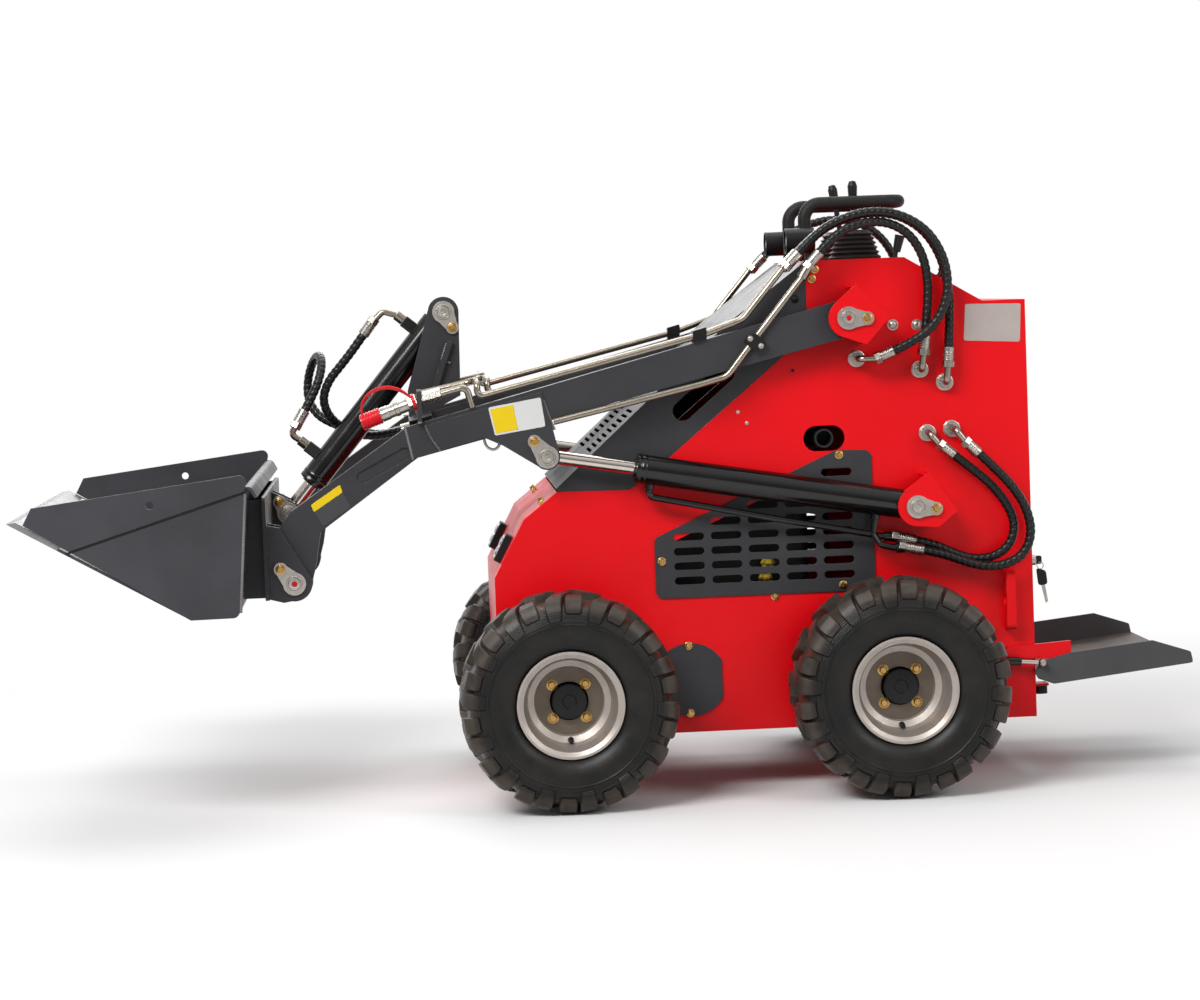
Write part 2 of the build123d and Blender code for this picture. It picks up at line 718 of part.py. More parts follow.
# Arms: main beam, knee cheeks that fork around the lift rod, and the drop to the bucket pivot
beam_up = toward(ARM_PIVOT, (KNEE_TOP[0], (KNEE_TOP[1] + KNEE_LOW[1]) / 2))
beam_top = (ARM_PIVOT[0] - beam_up[1] * ARM_R, ARM_PIVOT[1] + beam_up[0] * ARM_R)
beam_low = (ARM_PIVOT[0] + beam_up[1] * ARM_R, ARM_PIVOT[1] - beam_up[0] * ARM_R)
DROP_TOP = (668.0, 638.0)
DROP_FRONT = (698.0, 600.0)
DROP_BACK = [(634.0, 478.0), (622.0, 520.0), (609.0, 593.0)]
DROP_END_R = 34.0
CHEEK_END = [(380.0, 806.0), (367.0, 777.0), (350.0, 753.0)]
POCKET = [(517.0, 703.0), (428.0, 749.0)]
POCKET_H = 26.0
POCKET_DEPTH = 4.0

with BuildPart() as left_arm:
    with BuildSketch(at_y(arm_out)):
        with BuildLine():
            Polyline(beam_top, KNEE_TOP, KNEE_LOW, beam_low, close=True)
        make_face()
        with Locations(ARM_PIVOT):
            Circle(ARM_R)
        with BuildLine():
            Polyline(
                KNEE_TOP,
                DROP_TOP,
                DROP_FRONT,
                (BUCKET_PIVOT[0] + DROP_END_R, BUCKET_PIVOT[1]),
                (BUCKET_PIVOT[0], BUCKET_PIVOT[1] - DROP_END_R),
                *DROP_BACK,
                KNEE_LOW,
                close=True,
            )
        make_face()
        with Locations(BUCKET_PIVOT):
            Circle(DROP_END_R)
    extrude(amount=ARM_T)
    for face in (cheek_out, arm_in):
        with BuildSketch(at_y(face)):
            with BuildLine():
                ThreePointArc(CHEEK_END[0], CHEEK_END[1], CHEEK_END[2])
                Polyline(
                    CHEEK_END[2],
                    (260.0, 775.0),
                    (222.0, 757.0),
                    (LIFT_EYE[0] + 16, LIFT_EYE[1] - 21),
                    (LIFT_EYE[0] - LUG_R, LIFT_EYE[1] + 4),
                    (121.0, 800.0),
                    (140.0, 866.0),
                    CHEEK_END[0],
                )
            make_face()
            with Locations(LIFT_EYE):
                Circle(LUG_R)
                Circle(PIN_R + SEAT_GAP, mode=Mode.SUBTRACT)
        extrude(amount=CHEEK_T)
    with BuildSketch(at_y(arm_out)):
        slot_between(*POCKET, POCKET_H)
    extrude(amount=POCKET_DEPTH, mode=Mode.SUBTRACT)
    with BuildSketch(at_y(BRACKET_IN_Y - 4)):
        with Locations(ARM_PIVOT):
            Circle(ARM_R - 7)
    extrude(amount=BRACKET_IN_Y - BODY_HALF - 11)
    with BuildSketch(at_y(BRACKET_IN_Y)):
        with Locations(ARM_PIVOT, BUCKET_PIVOT):
            Circle(PIN_R + RUN_GAP)
    extrude(amount=BRACKET_IN_Y - BODY_HALF, mode=Mode.SUBTRACT)
save(left_arm, "left_arm")

with BuildPart() as right_arm:
    mirror(left_arm.part, about=Plane.XZ)
save(right_arm, "right_arm")

# Cross tube between the knees, with the tower that carries the tilt cylinder
FITTING_YS = (-64.0, -92.0)
RIB = [(320.0, 974.0), (362.0, 858.0)]
RIB_W = 12.0
RIB_OUT = 13.0


def cross_point(back, up):
    """Point of the cross tube's section, measured from the knee's lower corner."""
    return along(KNEE_LOW, beam_low, CROSS_BACK + back, -CROSS_LIFT - up)


with BuildPart() as cross_tube:
    with BuildSketch(at_y(cheek_in)):
        with BuildLine():
            Polyline(
                cross_point(0, 0),
                cross_point(CROSS_DEPTH, 0),
                cross_point(CROSS_DEPTH, CROSS_H),
                cross_point(0, CROSS_H),
                close=True,
            )
        make_face()
        with BuildLine():
            Polyline(
                cross_point(CROSS_WALL, CROSS_WALL),
                cross_point(CROSS_DEPTH - CROSS_WALL, CROSS_WALL),
                cross_point(CROSS_DEPTH - CROSS_WALL, CROSS_H - CROSS_WALL),
                cross_point(CROSS_WALL, CROSS_H - CROSS_WALL),
                close=True,
            )
        make_face(mode=Mode.SUBTRACT)
    extrude(amount=2 * cheek_in)
    for inner in (TOWER_IN_Y, -TOWER_IN_Y - TOWER_T):
        with BuildSketch(at_y(inner + TOWER_T)):
            with BuildLine():
                Polyline(
                    (TILT_BASE[0] - TOWER_R, TILT_BASE[1]),
                    (TILT_BASE[0] + TOWER_R, TILT_BASE[1] + 4),
                    (416.0, 868.0),
                    cross_point(1, CROSS_H - 2),
                    cross_point(CROSS_DEPTH, CROSS_H - 2),
                    (302.0, 856.0),
                    close=True,
                )
            make_face()
            with Locations(TILT_BASE):
                Circle(TOWER_R)
                Circle(PIN_R + SEAT_GAP, mode=Mode.SUBTRACT)
        extrude(amount=TOWER_T)
    for outer in (TOWER_IN_Y + TOWER_T + RIB_OUT, -TOWER_IN_Y - TOWER_T):
        with BuildSketch(at_y(outer)):
            with BuildLine():
                Polyline(
                    along(*RIB, 0, RIB_W / 2),
                    along(*RIB, math.dist(*RIB), RIB_W / 2),
                    along(*RIB, math.dist(*RIB), -RIB_W / 2),
                    along(*RIB, 0, -RIB_W / 2),
                    close=True,
                )
            make_face()
        extrude(amount=RIB_OUT)
    front_x, front_z = cross_point(0, CROSS_H / 2)
    back_dir = toward(KNEE_LOW, beam_low)
    for y in FITTING_YS:
        with BuildSketch(
            Plane(origin=(front_x, y, front_z), x_dir=(0, 1, 0), z_dir=(-back_dir[0], 0, -back_dir[1]))
        ):
            Circle(FERRULE_R)
        extrude(amount=20)
save(cross_tube, "cross_tube")

tower_out = TOWER_IN_Y + TOWER_T
eye_pin = keeper_pin(LIFT_EYE, (157.5, 763.5), arm_out, cheek_out, PIN_R)
tilt_pin = keeper_pin(TILT_BASE, (314.0, 1004.0), -tower_out, tower_out, PIN_R)

with BuildPart() as arm_pins:
    add(eye_pin)
    mirror(eye_pin, about=Plane.XZ)
    add(tilt_pin)
save(arm_pins, "arm_pins")

# Lift cylinders: barrel with its feed pipes, and rod with its piston and eye
barrel_start = 26.0


def barrel(base, eye, y, length, outer_r, bore_r, rod_r, bore_len, eye_w):
    """Cylinder barrel with a base eye, bored for its piston and rod."""
    with BuildPart() as piece:
        with BuildSketch(cylinder_plane(base, eye, barrel_start, y)):
            Circle(outer_r)
        extrude(amount=length - barrel_start)
        with BuildSketch(at_y(y + eye_w / 2)):
            with Locations(base):
                Circle(outer_r + 1)
        extrude(amount=eye_w)
        with BuildSketch(at_y(y + eye_w)):
            with Locations(base):
                Circle(PIN_R + RUN_GAP)
        extrude(amount=2 * eye_w, mode=Mode.SUBTRACT)
        with BuildSketch(cylinder_plane(base, eye, length - bore_len, y)):
            Circle(bore_r)
        extrude(amount=bore_len - 30, mode=Mode.SUBTRACT)
        with BuildSketch(cylinder_plane(base, eye, length - 31, y)):
            Circle(rod_r + RUN_GAP)
        extrude(amount=32, mode=Mode.SUBTRACT)
    return piece.part


def rod(base, eye, y, length, rod_r, bore_r, eye_w):
    """Cylinder rod from its piston to its eye."""
    full = math.dist(base, eye)
    with BuildPart() as piece:
        with BuildSketch(cylinder_plane(base, eye, full - length, y)):
            Circle(rod_r)
        extrude(amount=length)
        with BuildSketch(cylinder_plane(base, eye, full - length, y)):
            Circle(bore_r - PISTON_GAP)
        extrude(amount=36)
        with BuildSketch(at_y(y + eye_w / 2)):
            with Locations(eye):
                Circle(ROD_EYE_R)
        extrude(amount=eye_w)
        with BuildSketch(at_y(y + eye_w)):
            with Locations(eye):
                Circle(PIN_R)
        extrude(amount=2 * eye_w, mode=Mode.SUBTRACT)
    return piece.part


def lift_point(distance, side, y=ARM_Y):
    """Point beside the left lift cylinder's axis."""
    x, z = along(LIFT_BASE, LIFT_EYE, distance, side)
    return (x, y, z)


LIFT_PORTS = (78.0, 560.0)
PORT_BOSS_R = 10.0
PORT_BOSS_H = 8.0
port_face = LIFT_BARREL_R + PORT_BOSS_H
lift_barrel = barrel(
    LIFT_BASE, LIFT_EYE, ARM_Y, LIFT_BARREL_LEN, LIFT_BARREL_R,
    LIFT_BORE_R, LIFT_ROD_R, 520.0, 44.0,
)
lift_bosses = [
    straight(lift_point(port, 3 - LIFT_BARREL_R), lift_point(port, -port_face), PORT_BOSS_R)
    for port in LIFT_PORTS
]

with BuildPart() as left_lift_barrel:
    add(lift_barrel)
    add(lift_bosses)
save(left_lift_barrel, "left_lift_barrel")

with BuildPart() as right_lift_barrel:
    mirror(left_lift_barrel.part, about=Plane.XZ)
save(right_lift_barrel, "right_lift_barrel")

# Feed pipes under the lift cylinders, each with the nut at its hose end
PIPE_START = port_face + SEAT_GAP
PIPE_ENDS = [(-573.0, ARM_Y - 6, 531.5), (-595.0, ARM_Y + 16, 508.0)]
LIFT_FERRULE_L = 35.0
lift_hoses = [HOSES["lift_hose_front"], HOSES["lift_hose_rear"]]
lift_leads = [lead_in(points, LIFT_FERRULE_L) for points in lift_hoses]
front_pipe = tube(
    [
        lift_point(LIFT_PORTS[1], -PIPE_START),
        lift_point(LIFT_PORTS[1], -PIPE_START - 16),
        lift_point(300, -66, ARM_Y - 3),
        PIPE_ENDS[0],
    ],
    PIPE_R,
    [12, 60],
)
rear_pipe = tube(
    [
        lift_point(LIFT_PORTS[0], -PIPE_START),
        lift_point(LIFT_PORTS[0], -PIPE_START - 30),
        lift_point(60, -91, ARM_Y + 12),
        PIPE_ENDS[1],
    ],
    PIPE_R,
    12,
)
lift_nuts = [straight(near, far, NUT_R) for near, far in zip(PIPE_ENDS, lift_leads)]
lift_ferrules = [
    straight(near, points[0], FERRULE_R) for near, points in zip(lift_leads, lift_hoses)
]

with BuildPart() as right_lift_pipes:
    mirror(front_pipe, about=Plane.XZ)
    mirror(rear_pipe, about=Plane.XZ)
    for nut in lift_nuts:
        mirror(nut, about=Plane.XZ)
save(right_lift_pipes, "right_lift_pipes")

with BuildPart() as left_lift_pipes:
    add([front_pipe, rear_pipe])
    add(lift_nuts)
    add(lift_ferrules)
save(left_lift_pipes, "left_lift_pipes")

lift_rod = rod(LIFT_BASE, LIFT_EYE, ARM_Y, LIFT_ROD_LEN, LIFT_ROD_R, LIFT_BORE_R, LIFT_EYE_W)

with BuildPart() as left_lift_rod:
    add(lift_rod)
save(left_lift_rod, "left_lift_rod")

with BuildPart() as right_lift_rod:
    mirror(left_lift_rod.part, about=Plane.XZ)
save(right_lift_rod, "right_lift_rod")


# Tilt cylinder on the machine's centre line, with its two port blocks
def tilt_point(distance, side, y=0.0):
    """Point beside the tilt cylinder's axis."""
    x, z = along(TILT_BASE, TILT_EYE, distance, side)
    return (x, y, z)


def tilt_side_plane(distance, side):
    """Plane that faces forward and up from the tilt cylinder."""
    ux, uz = toward(TILT_BASE, TILT_EYE)
    return Plane(origin=tilt_point(distance, side), x_dir=(0, 1, 0), z_dir=(-uz, 0, ux))


PORTS = (68.0, 412.0)
PORT_BLOCK = 31.0
PORT_SINK = 4.5

centre_barrel = barrel(
    TILT_BASE, TILT_EYE, 0.0, TILT_BARREL_LEN, TILT_BARREL_R, TILT_BORE_R, TILT_ROD_R, 350.0, 50.0
)
centre_rod = rod(TILT_BASE, TILT_EYE, 0.0, TILT_ROD_LEN, TILT_ROD_R, TILT_BORE_R, TILT_EYE_W)

with BuildPart() as tilt_barrel:
    add(centre_barrel)
    for distance in PORTS:
        with BuildSketch(tilt_side_plane(distance, TILT_BARREL_R - PORT_SINK)):
            RectangleRounded(30, 26, 4)
        extrude(amount=PORT_BLOCK)
save(tilt_barrel, "tilt_barrel")

with BuildPart() as tilt_rod:
    add(centre_rod)
save(tilt_rod, "tilt_rod")

port_top = TILT_BARREL_R - PORT_SINK + PORT_BLOCK + SEAT_GAP
port_nut_l = 20.0
TILT_FERRULE_L = 27.0
TILT_ELBOWS = [(463.0, 0.0, 1044.0), (674.0, 0.0, 784.0)]
tilt_lines = []
for port, corner, name in zip(PORTS, TILT_ELBOWS, ("tilt_hose_upper", "tilt_hose_lower")):
    lead = lead_in(HOSES[name], TILT_FERRULE_L)
    nut_end = tilt_point(port, port_top + port_nut_l)
    tilt_lines.append(straight(tilt_point(port, port_top), nut_end, NUT_R))
    tilt_lines.append(tube([nut_end, corner, lead], PIPE_R, ELBOW_BEND_R))
    tilt_lines.append(straight(lead, HOSES[name][0], FERRULE_R))

with BuildPart() as tilt_fittings:
    add(tilt_lines)
save(tilt_fittings, "tilt_fittings")

# Quick attach plate with the ears for the arms and the lugs for the tilt rod
EAR = [
    (ATTACH_X, 612.0),
    (693.0, 606.0),
    (BUCKET_PIVOT[0] - 30, BUCKET_PIVOT[1] + 20),
    (BUCKET_PIVOT[0] - 14, BUCKET_PIVOT[1] - 33),
    (690.0, 450.0),
    (ATTACH_X, 458.0),
]
LUG_IN_Y = 26.0
LUG_T = 12.0
attach_front = ATTACH_X + ATTACH_T

with BuildPart() as attach_plate:
    with BuildSketch(Plane.YZ.offset(ATTACH_X)):
        with Locations((0, (ATTACH_LOW_Z + ATTACH_TOP_Z) / 2)):
            RectangleRounded(2 * ATTACH_HALF, ATTACH_TOP_Z - ATTACH_LOW_Z, 12)
    extrude(amount=ATTACH_T)
    for face in (ear_out, arm_in - EAR_GAP):
        for side in (1, -1):
            with BuildSketch(at_y(face if side > 0 else EAR_T - face)):
                with BuildLine():
                    Polyline(*EAR, close=True)
                make_face()
                with Locations(BUCKET_PIVOT):
                    Circle(EAR_R)
                    Circle(PIN_R + SEAT_GAP, mode=Mode.SUBTRACT)
            extrude(amount=EAR_T)
    for face in (LUG_IN_Y + LUG_T, -LUG_IN_Y):
        with BuildSketch(at_y(face)):
            with Locations(TILT_EYE):
                Circle(LUG_R)
            with BuildLine():
                Polyline(
                    (ATTACH_X, TILT_EYE[1] + 48),
                    (TILT_EYE[0] - 12, TILT_EYE[1] + 24),
                    (TILT_EYE[0] - 12, TILT_EYE[1] - 24),
                    (ATTACH_X, TILT_EYE[1] - 48),
                    close=True,
                )
            make_face()
            with Locations(TILT_EYE):
                Circle(PIN_R + SEAT_GAP, mode=Mode.SUBTRACT)
        extrude(amount=LUG_T)
save(attach_plate, "attach_plate")

foot_pin = keeper_pin(BUCKET_PIVOT, (694.5, 520.5), arm_in - EAR_GAP - EAR_T, ear_out, PIN_R)
lug_pin = keeper_pin(TILT_EYE, (704.0, 640.0), LUG_IN_Y, LUG_IN_Y + LUG_T, PIN_R)

with BuildPart() as bucket_pins:
    add(foot_pin)
    add(lug_pin)
    mirror(about=Plane.XZ)
save(bucket_pins, "bucket_pins")

# Bucket: folded shell, side plates with a corner hole, and the bare cutting edge
BUCKET_TOP = (752.0, 716.0)
BUCKET_HEM = (733.0, 680.0)
BUCKET_BACK = (774.0, 440.0)
BUCKET_HEEL = (872.0, 439.0)
BUCKET_LIP = (1233.0, 649.0)
BUCKET_SIDE_TOP = [(1181.0, 679.0), (745.0, 730.0)]
BUCKET_HOLE = (944.0, 675.0)
BUCKET_HOLE_R = 8.0
BUCKET_CORNER_R = 14.0
BUCKET_BENDS = [BUCKET_T + 1, BUCKET_CORNER_R, 2 * BUCKET_CORNER_R]
BAND = [(1117.0, 587.0), (753.0, 696.0)]
BAND_STEP = 2.0
bucket_in = BUCKET_HALF - BUCKET_T
edge_back = along(BUCKET_LIP, BUCKET_HEEL, EDGE_W)

with BuildPart() as bucket_shell:
    with BuildSketch(at_y(bucket_in)):
        with BuildLine():
            FilletPolyline(
                BUCKET_HEM, BUCKET_TOP, BUCKET_BACK, BUCKET_HEEL, edge_back, radius=BUCKET_BENDS
            )
            offset(amount=BUCKET_T, side=Side.RIGHT)
        make_face()
    extrude(amount=2 * bucket_in)
save(bucket_shell, "bucket_shell")

with BuildPart() as bucket_sides:
    with BuildSketch(at_y(BUCKET_HALF)):
        with BuildLine():
            Polyline(
                *BUCKET_SIDE_TOP,
                (754.0, 692.0),
                BUCKET_BACK,
                BUCKET_HEEL,
                (1199.0, 645.0),
                close=True,
            )
        outline = make_face()
        corners = outline.vertices().sort_by(Axis.X)
        fillet([corners[0], corners[2]], BUCKET_CORNER_R)
        with Locations(BUCKET_HOLE):
            Circle(BUCKET_HOLE_R, mode=Mode.SUBTRACT)
    extrude(amount=BUCKET_T)
    with BuildSketch(at_y(BUCKET_HALF)):
        with BuildLine():
            Polyline(
                BAND[0],
                BAND[1],
                (BAND[1][0] - 60, BAND[1][1]),
                (BUCKET_BACK[0] - 60, BUCKET_BACK[1] - 40),
                (BUCKET_HEEL[0] + 60, BUCKET_HEEL[1] - 40),
                along(*BAND, -60),
                close=True,
            )
        make_face()
    extrude(amount=BAND_STEP, mode=Mode.SUBTRACT)
    mirror(about=Plane.XZ)
save(bucket_sides, "bucket_sides")

with BuildPart() as cutting_edge:
    with BuildSketch(at_y(bucket_in)):
        with BuildLine():
            Polyline(
                BUCKET_LIP,
                along(BUCKET_LIP, BUCKET_HEEL, 16, -EDGE_T),
                along(BUCKET_LIP, BUCKET_HEEL, EDGE_W, -EDGE_T),
                edge_back,
                close=True,
            )
        make_face()
    extrude(amount=2 * bucket_in)
save(cutting_edge, "cutting_edge")

# Mounting frame on the back of the bucket
FRAME_Y = 340.0
FRAME_T = 10.0
frame_low = ATTACH_LOW_Z + 4
frame_top = ATTACH_TOP_Z - 6


def bucket_back_x(z):
    """X of the bucket's back at a height."""
    lean = (BUCKET_BACK[0] - BUCKET_TOP[0]) / (BUCKET_TOP[1] - BUCKET_BACK[1])
    return BUCKET_TOP[0] + (BUCKET_TOP[1] - z) * lean


with BuildPart() as bucket_frame:
    for y in (FRAME_Y, -FRAME_Y + FRAME_T):
        with BuildSketch(at_y(y)):
            with BuildLine():
                Polyline(
                    (attach_front, frame_low),
                    (attach_front, frame_top),
                    (bucket_back_x(frame_top), frame_top),
                    (bucket_back_x(frame_low), frame_low),
                    close=True,
                )
            make_face()
        extrude(amount=FRAME_T)
save(bucket_frame, "bucket_frame")

# Standing platform: tray with side walls, its hinge arms, gas springs and rubber buffers
PLATFORM_SIDE = [
    (-904.0, 248.0),
    (-968.0, 265.0),
    (-1147.0, 283.0),
    (-1228.0, 256.0),
    (-1233.0, 232.0),
    (-931.0, 199.5),
    (-898.0, 212.0),
    (-891.0, 226.0),
]
PLATFORM_CORNER_R = 6.0
TRAY_REAR = (-1233.0, 232.0)
TRAY_FRONT = (-931.0, 199.5)
platform_in = PLATFORM_HALF - PLATFORM_WALL

with BuildPart() as platform:
    with BuildSketch(at_y(PLATFORM_HALF)):
        with BuildLine():
            Polyline(*PLATFORM_SIDE, close=True)
        wall = make_face()
        fillet(wall.vertices(), PLATFORM_CORNER_R)
    extrude(amount=PLATFORM_WALL)
    mirror(about=Plane.XZ)
    with BuildSketch(at_y(platform_in)):
        with BuildLine():
            Polyline(
                TRAY_FRONT,
                TRAY_REAR,
                along(TRAY_FRONT, TRAY_REAR, math.dist(TRAY_FRONT, TRAY_REAR), -PLATFORM_T),
                along(TRAY_FRONT, TRAY_REAR, 0, -PLATFORM_T),
                close=True,
            )
        make_face()
    extrude(amount=2 * platform_in)
save(platform, "platform")

ARM_BAR = [(-832.0, 282.0), (-832.0, 258.0), (-940.0, 252.0), (-971.0, 262.0), (-971.0, 290.0)]

with BuildPart() as platform_arms:
    with BuildSketch(at_y(platform_in)):
        with BuildLine():
            Polyline(*ARM_BAR, close=True)
        make_face()
    extrude(amount=platform_in - BODY_HALF - SEAT_GAP)
    mirror(about=Plane.XZ)
save(platform_arms, "platform_arms")

SPRING_FRONT = (-745.0, 262.0)
SPRING_REAR = (-906.0, 247.0)
SPRING_OUT = 7.5
SPRING_Y = PLATFORM_HALF + SPRING_OUT
SPRING_R = 9.0
SPRING_ROD_L = 46.0
SPRING_BALL_R = 7.0

with BuildPart() as platform_springs:
    span = math.dist(SPRING_FRONT, SPRING_REAR)
    with BuildSketch(cylinder_plane(SPRING_FRONT, SPRING_REAR, 0, SPRING_Y)):
        Circle(SPRING_R)
    extrude(amount=span - SPRING_ROD_L)
    with BuildSketch(cylinder_plane(SPRING_FRONT, SPRING_REAR, 0, SPRING_Y)):
        Circle(SPRING_R / 2)
    extrude(amount=span)
    with BuildSketch(at_y(SPRING_Y + SPRING_OUT)):
        with Locations(SPRING_FRONT):
            Circle(SPRING_BALL_R)
    extrude(amount=SPRING_Y + SPRING_OUT - BODY_HALF)
    with BuildSketch(at_y(SPRING_Y + SPRING_OUT)):
        with Locations(SPRING_REAR):
            Circle(SPRING_BALL_R)
    extrude(amount=2 * SPRING_OUT)
    mirror(about=Plane.XZ)
save(platform_springs, "platform_springs")

with BuildPart() as platform_buffers:
    for y in (BUFFER_Y, -BUFFER_Y):
        with Locations((BUFFER_X, y, BUFFER_SHELF_Z - PANEL_T)):
            Cylinder(BUFFER_R, BUFFER_H, align=(Align.CENTER, Align.CENTER, Align.MAX))
save(platform_buffers, "platform_buffers")

# Controls: handlebar loop, drive levers in bellows, small lever and lamps
BAR_Y = 141.0
BAR_R = 14.0
BAR_FRONT_X = -449.0
BAR_REAR_X = -658.0
BAR_H = 122.0
BAR_Z = CONSOLE_TOP_Z + BAR_H
BAR_BEND_R = 34.0
bar_loop = tube(
    [
        (BAR_FRONT_X, BAR_Y, CONSOLE_TOP_Z),
        (BAR_FRONT_X, BAR_Y, BAR_Z),
        (BAR_REAR_X, BAR_Y, BAR_Z),
        (BAR_REAR_X, -BAR_Y, BAR_Z),
        (BAR_FRONT_X, -BAR_Y, BAR_Z),
        (BAR_FRONT_X, -BAR_Y, CONSOLE_TOP_Z),
    ],
    BAR_R,
    BAR_BEND_R,
)

with BuildPart() as handlebar:
    add(bar_loop)
save(handlebar, "handlebar")

LEVER_X = -560.0
LEVER_Y = 108.0
LEVER_H = 170.0
LEVER_R = 6.0
KNOB_R = 10.5
KNOB_L = 46.0
FAR_LEAN = 8.5
BOOT_R = 56.0
BOOT_TOP_R = 37.0
BOOT_H = 60.0
BOOT_RIBS = 6

with BuildPart() as lever_boots:
    for y in (LEVER_Y, -LEVER_Y):
        with BuildSketch(Plane(origin=(LEVER_X, y, CONSOLE_TOP_Z), x_dir=(1, 0, 0), z_dir=(0, -1, 0))):
            with BuildLine():
                profile = [(LEVER_R + SEAT_GAP, 0), (BOOT_R, 0)]
                for rib in range(BOOT_RIBS):
                    low = rib / BOOT_RIBS
                    wide = BOOT_R + (BOOT_TOP_R - BOOT_R) * (low + 0.5 / BOOT_RIBS) + 3
                    thin = BOOT_R + (BOOT_TOP_R - BOOT_R) * (low + 1 / BOOT_RIBS) - 3
                    profile.append((wide, BOOT_H * (low + 0.5 / BOOT_RIBS)))
                    profile.append((thin, BOOT_H * (low + 1 / BOOT_RIBS)))
                profile.append((BOOT_TOP_R - 6, BOOT_H + 3))
                profile.append((LEVER_R + SEAT_GAP, BOOT_H + 3))
                Polyline(*profile, close=True)
            make_face()
        revolve(axis=Axis((LEVER_X, y, 0), (0, 0, 1)))
save(lever_boots, "lever_boots")

THROTTLE_Y = 96.0
THROTTLE_R = 4.0
THROTTLE_L = 54.0
THROTTLE_LEAN = math.radians(14.0)
THROTTLE_DOWN = 10.0
THROTTLE_NECK = 18.0
THROTTLE_KNOB_R = 8.5
THROTTLE_TAPER = 4.0
lever_neck = BOOT_H + 4
slope_top = (CONSOLE_SLOPE_X, CONSOLE_TOP_Z)
slope_dir = toward(slope_top, (LEDGE_X, LEDGE_Z))
throttle_dir = (-math.sin(THROTTLE_LEAN), math.cos(THROTTLE_LEAN))
throttle_dip = THROTTLE_R * abs(throttle_dir[0] * slope_dir[0] + throttle_dir[1] * slope_dir[1])
throttle_foot = along(slope_top, (LEDGE_X, LEDGE_Z), THROTTLE_DOWN, -throttle_dip)
throttle_tip = (
    throttle_foot[0] + THROTTLE_L * throttle_dir[0],
    throttle_foot[1] + THROTTLE_L * throttle_dir[1],
)


def lever_plane(y, height, lean):
    """Half-section plane of a lever: sketch y runs up the lever, which leans forward."""
    tip = math.radians(lean)
    return Plane(
        origin=(LEVER_X, y, CONSOLE_TOP_Z + height),
        x_dir=(math.cos(tip), 0, -math.sin(tip)),
        z_dir=(0, -1, 0),
    )


with BuildPart() as control_levers:
    for y, lean in ((LEVER_Y, 0.0), (-LEVER_Y, FAR_LEAN)):
        with Locations((LEVER_X, y, CONSOLE_TOP_Z)):
            Cylinder(LEVER_R, lever_neck, align=(Align.CENTER, Align.CENTER, Align.MIN))
        upper = lever_plane(y, lever_neck, lean)
        knob = LEVER_H - lever_neck
        with BuildSketch(upper):
            with BuildLine():
                Polyline(
                    (0, -2),
                    (LEVER_R - 0.2, -2),
                    (LEVER_R - 0.2, knob - KNOB_L),
                    (KNOB_R - 1.5, knob - KNOB_L + 2),
                    (KNOB_R, knob - 12),
                    (KNOB_R - 3.5, knob - 2),
                    (0, knob),
                    close=True,
                )
            make_face()
        revolve(axis=Axis(upper.origin, upper.y_dir))
    throttle = cylinder_plane(throttle_foot, throttle_tip, 0, THROTTLE_Y)
    with BuildSketch(throttle):
        Circle(THROTTLE_R)
    extrude(amount=THROTTLE_L)
    with BuildSketch(throttle.offset(THROTTLE_NECK)):
        Circle(THROTTLE_KNOB_R)
    extrude(amount=THROTTLE_L - THROTTLE_NECK, taper=-THROTTLE_TAPER)
save(control_levers, "control_levers")

LAMP_R = 27.0
LAMP_X = -462.0
LAMP_L = 62.0
LAMP_Y = 190.0
LAMP_H = 43.0
LAMP_RIM = 3.0
LAMP_DEPTH = 8.0
LAMP_POST_R = 7.0
FRONT_LAMP_Y = 182.0
FRONT_LAMP_W = 64.0
FRONT_LAMP_H = 62.0
FRONT_LAMP_T = 15.0
FRONT_LAMP_UP = 60.0
lamp_axis_z = CONSOLE_TOP_Z + LAMP_H

with BuildPart() as lamps:
    for y in (LAMP_Y, -LAMP_Y):
        with BuildSketch(Plane(origin=(LAMP_X, y, lamp_axis_z), x_dir=(0, 1, 0), z_dir=(1, 0, 0))):
            Circle(LAMP_R)
        extrude(amount=LAMP_L)
        with BuildSketch(Plane(origin=(LAMP_X + LAMP_L, y, lamp_axis_z), x_dir=(0, 1, 0), z_dir=(1, 0, 0))):
            Circle(LAMP_R - LAMP_RIM)
        extrude(amount=-LAMP_DEPTH, mode=Mode.SUBTRACT)
        with Locations((LAMP_X + 2 * LAMP_POST_R, y, CONSOLE_TOP_Z)):
            Cylinder(LAMP_POST_R, LAMP_H, align=(Align.CENTER, Align.CENTER, Align.MIN))
    slope = toward((BODY_FRONT_X, FRONT_BREAK_Z), FRONT_MID)
    lamp_x, lamp_z = along((BODY_FRONT_X, FRONT_BREAK_Z), FRONT_MID, FRONT_LAMP_UP)
    for y in (FRONT_LAMP_Y, -FRONT_LAMP_Y):
        with BuildSketch(
            Plane(origin=(lamp_x, y, lamp_z), x_dir=(0, 1, 0), z_dir=(slope[1], 0, -slope[0]))
        ):
            RectangleRounded(FRONT_LAMP_W, FRONT_LAMP_H, 5)
        extrude(amount=FRONT_LAMP_T)
save(lamps, "lamps")

